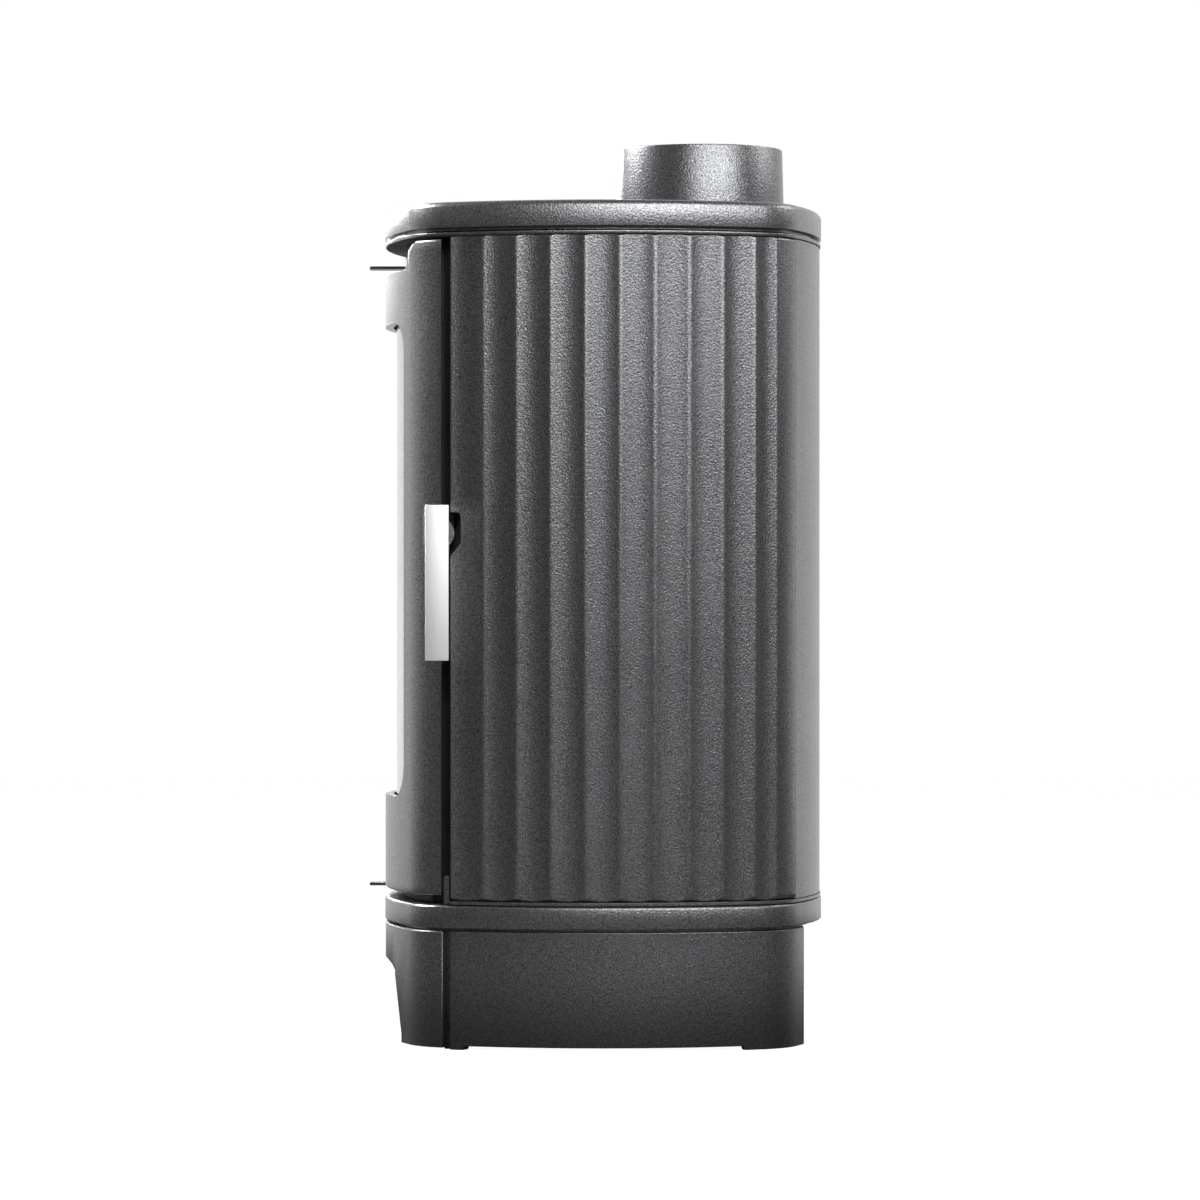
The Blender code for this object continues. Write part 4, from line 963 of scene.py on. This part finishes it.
class STOVE_OT_steel_parts(bpy.types.Operator):
    """Finish the pressed, turned and flat steel parts"""

    bl_idname = "stove.steel_parts"
    bl_label = "Steel parts"

    def execute(self, context):
        _, finish, _ = settings()
        steel = shared("rolled_mild_steel", rolled_steel, finish)
        for node in ("hinge_pin_upper", "hinge_pin_lower", "airwash_shelf",
                     "primary_valve_plate", "ash_rail_right", "ash_rail_left", "ash_pan",
                     "ash_pan_handle", "airwash_slide", "primary_air_slide", "latch_spindle",
                     "latch_cam", "latch_keeper", "glass_clip_upper", "glass_clip_lower"):
            dressed(node, steel, 0.0002)
        return {"FINISHED"}


class STOVE_OT_handle(bpy.types.Operator):
    """Finish the door's bar handle"""

    bl_idname = "stove.handle"
    bl_label = "Door handle"

    def execute(self, context):
        _, finish, _ = settings()
        dressed("door_handle", shared("satin_stainless", bright_bar, finish))
        return {"FINISHED"}


class STOVE_OT_glass(bpy.types.Operator):
    """Finish the door glass"""

    bl_idname = "stove.glass"
    bl_label = "Door glass"

    def execute(self, context):
        _, finish, _ = settings()
        dressed("door_glass", shared("ceramic_fire_glass", fire_glass, finish), 0.0003)
        return {"FINISHED"}


class STOVE_OT_bricks(bpy.types.Operator):
    """Finish the firebricks and the baffle"""

    bl_idname = "stove.bricks"
    bl_label = "Firebricks"

    def execute(self, context):
        _, finish, _ = settings()
        brick = shared("firebrick", refractory, finish)
        for node in ("firebrick_right", "firebrick_left", "firebrick_rear", "baffle"):
            dressed(node, brick)
        return {"FINISHED"}


class STOVE_OT_seals(bpy.types.Operator):
    """Make the door's braided rope and the glass tape"""

    bl_idname = "stove.seals"
    bl_label = "Rope and tape"

    def execute(self, context):
        plan, finish, _ = settings()
        yarn = shared("glass_fibre_yarn", glass_yarn, finish)
        braided_rope(plan, yarn)
        woven_tape(plan, yarn)
        return {"FINISHED"}


class STOVE_OT_screws(bpy.types.Operator):
    """Make the screws of the glass clips"""

    bl_idname = "stove.screws"
    bl_label = "Clip screws"

    def execute(self, context):
        plan, finish, _ = settings()
        steel = shared("rolled_mild_steel", rolled_steel, finish)
        clip_inset = 0.0166
        for node, height in (("glass_clip_upper", 0.6388), ("glass_clip_lower", 0.1943)):
            for i, angle in enumerate((-106.0, -90.0, -74.0)):
                x, y = plan_point(plan, angle, clip_inset)
                inward = (-math.cos(math.radians(angle)), -math.sin(math.radians(angle)), 0)
                pan_head((x, y, height), inward, steel, f"{node}_screw_{i}", "door")
        return {"FINISHED"}


class STOVE_OT_studio(bpy.types.Operator):
    """Make the floor, the soft light and the camera"""

    bl_idname = "stove.studio"
    bl_label = "Studio"

    def execute(self, context):
        _, _, studio = settings()
        context.scene.view_settings.view_transform = "Standard"
        add_floor()
        add_room(studio)
        add_soft_box("front_box", studio.front_power, place=(-0.45, -1.70, 1.60),
                     target=(0.26, -0.27, 0.56), size=(1.2, 0.8), beam=30.0)
        add_soft_box("near_box", studio.near_power, place=(2.56, 1.06, 1.78),
                     target=(0, 0, 0.65), size=(3.1, 1.3))
        add_soft_box("edge_box", studio.edge_power, place=(-2.25, -1.05, 1.45),
                     target=(0.20, -0.55, 0.85), size=(0.9, 0.9), beam=30.0)
        add_soft_box("rear_box", studio.rear_power, place=(-0.35, 1.90, 1.65),
                     target=(0, 0.1, 0.55), size=(1.2, 0.8))
        add_camera(studio)
        return {"FINISHED"}


class STOVE_PT_panel(bpy.types.Panel):
    """Lists the stove's operators in order"""

    bl_idname = "STOVE_PT_panel"
    bl_label = "Cast iron wood stove"
    bl_space_type = "VIEW_3D"
    bl_region_type = "UI"
    bl_category = "Stove"

    def draw(self, context):
        for operator in OPERATORS:
            self.layout.operator(operator.bl_idname)
        for group in settings():
            box = self.layout.box()
            for name in group.__annotations__:
                box.prop(group, name)


GROUPS = (StovePlan, StoveFinish, StoveStudio)
OPERATORS = (STOVE_OT_side_panels, STOVE_OT_outer_castings, STOVE_OT_door, STOVE_OT_inner_castings,
             STOVE_OT_steel_parts, STOVE_OT_handle, STOVE_OT_glass, STOVE_OT_bricks, STOVE_OT_seals,
             STOVE_OT_screws, STOVE_OT_studio)


def register():
    """Registers the settings, the operators and the panel."""
    for item in (*GROUPS, *OPERATORS, STOVE_PT_panel):
        bpy.utils.register_class(item)
    bpy.types.Scene.stove_plan = bpy.props.PointerProperty(type=StovePlan)
    bpy.types.Scene.stove_finish = bpy.props.PointerProperty(type=StoveFinish)
    bpy.types.Scene.stove_studio = bpy.props.PointerProperty(type=StoveStudio)


def unregister():
    """Takes them out again."""
    for name in ("stove_plan", "stove_finish", "stove_studio"):
        delattr(bpy.types.Scene, name)
    for item in reversed((*GROUPS, *OPERATORS, STOVE_PT_panel)):
        bpy.utils.unregister_class(item)


def main():
    """Makes every piece and the studio."""
    register()
    bpy.ops.stove.side_panels()
    bpy.ops.stove.outer_castings()
    bpy.ops.stove.door()
    bpy.ops.stove.inner_castings()
    bpy.ops.stove.steel_parts()
    bpy.ops.stove.handle()
    bpy.ops.stove.glass()
    bpy.ops.stove.bricks()
    bpy.ops.stove.seals()
    bpy.ops.stove.screws()
    bpy.ops.stove.studio()
    bpy.context.view_layer.update()


if __name__ == "__main__":
    main()
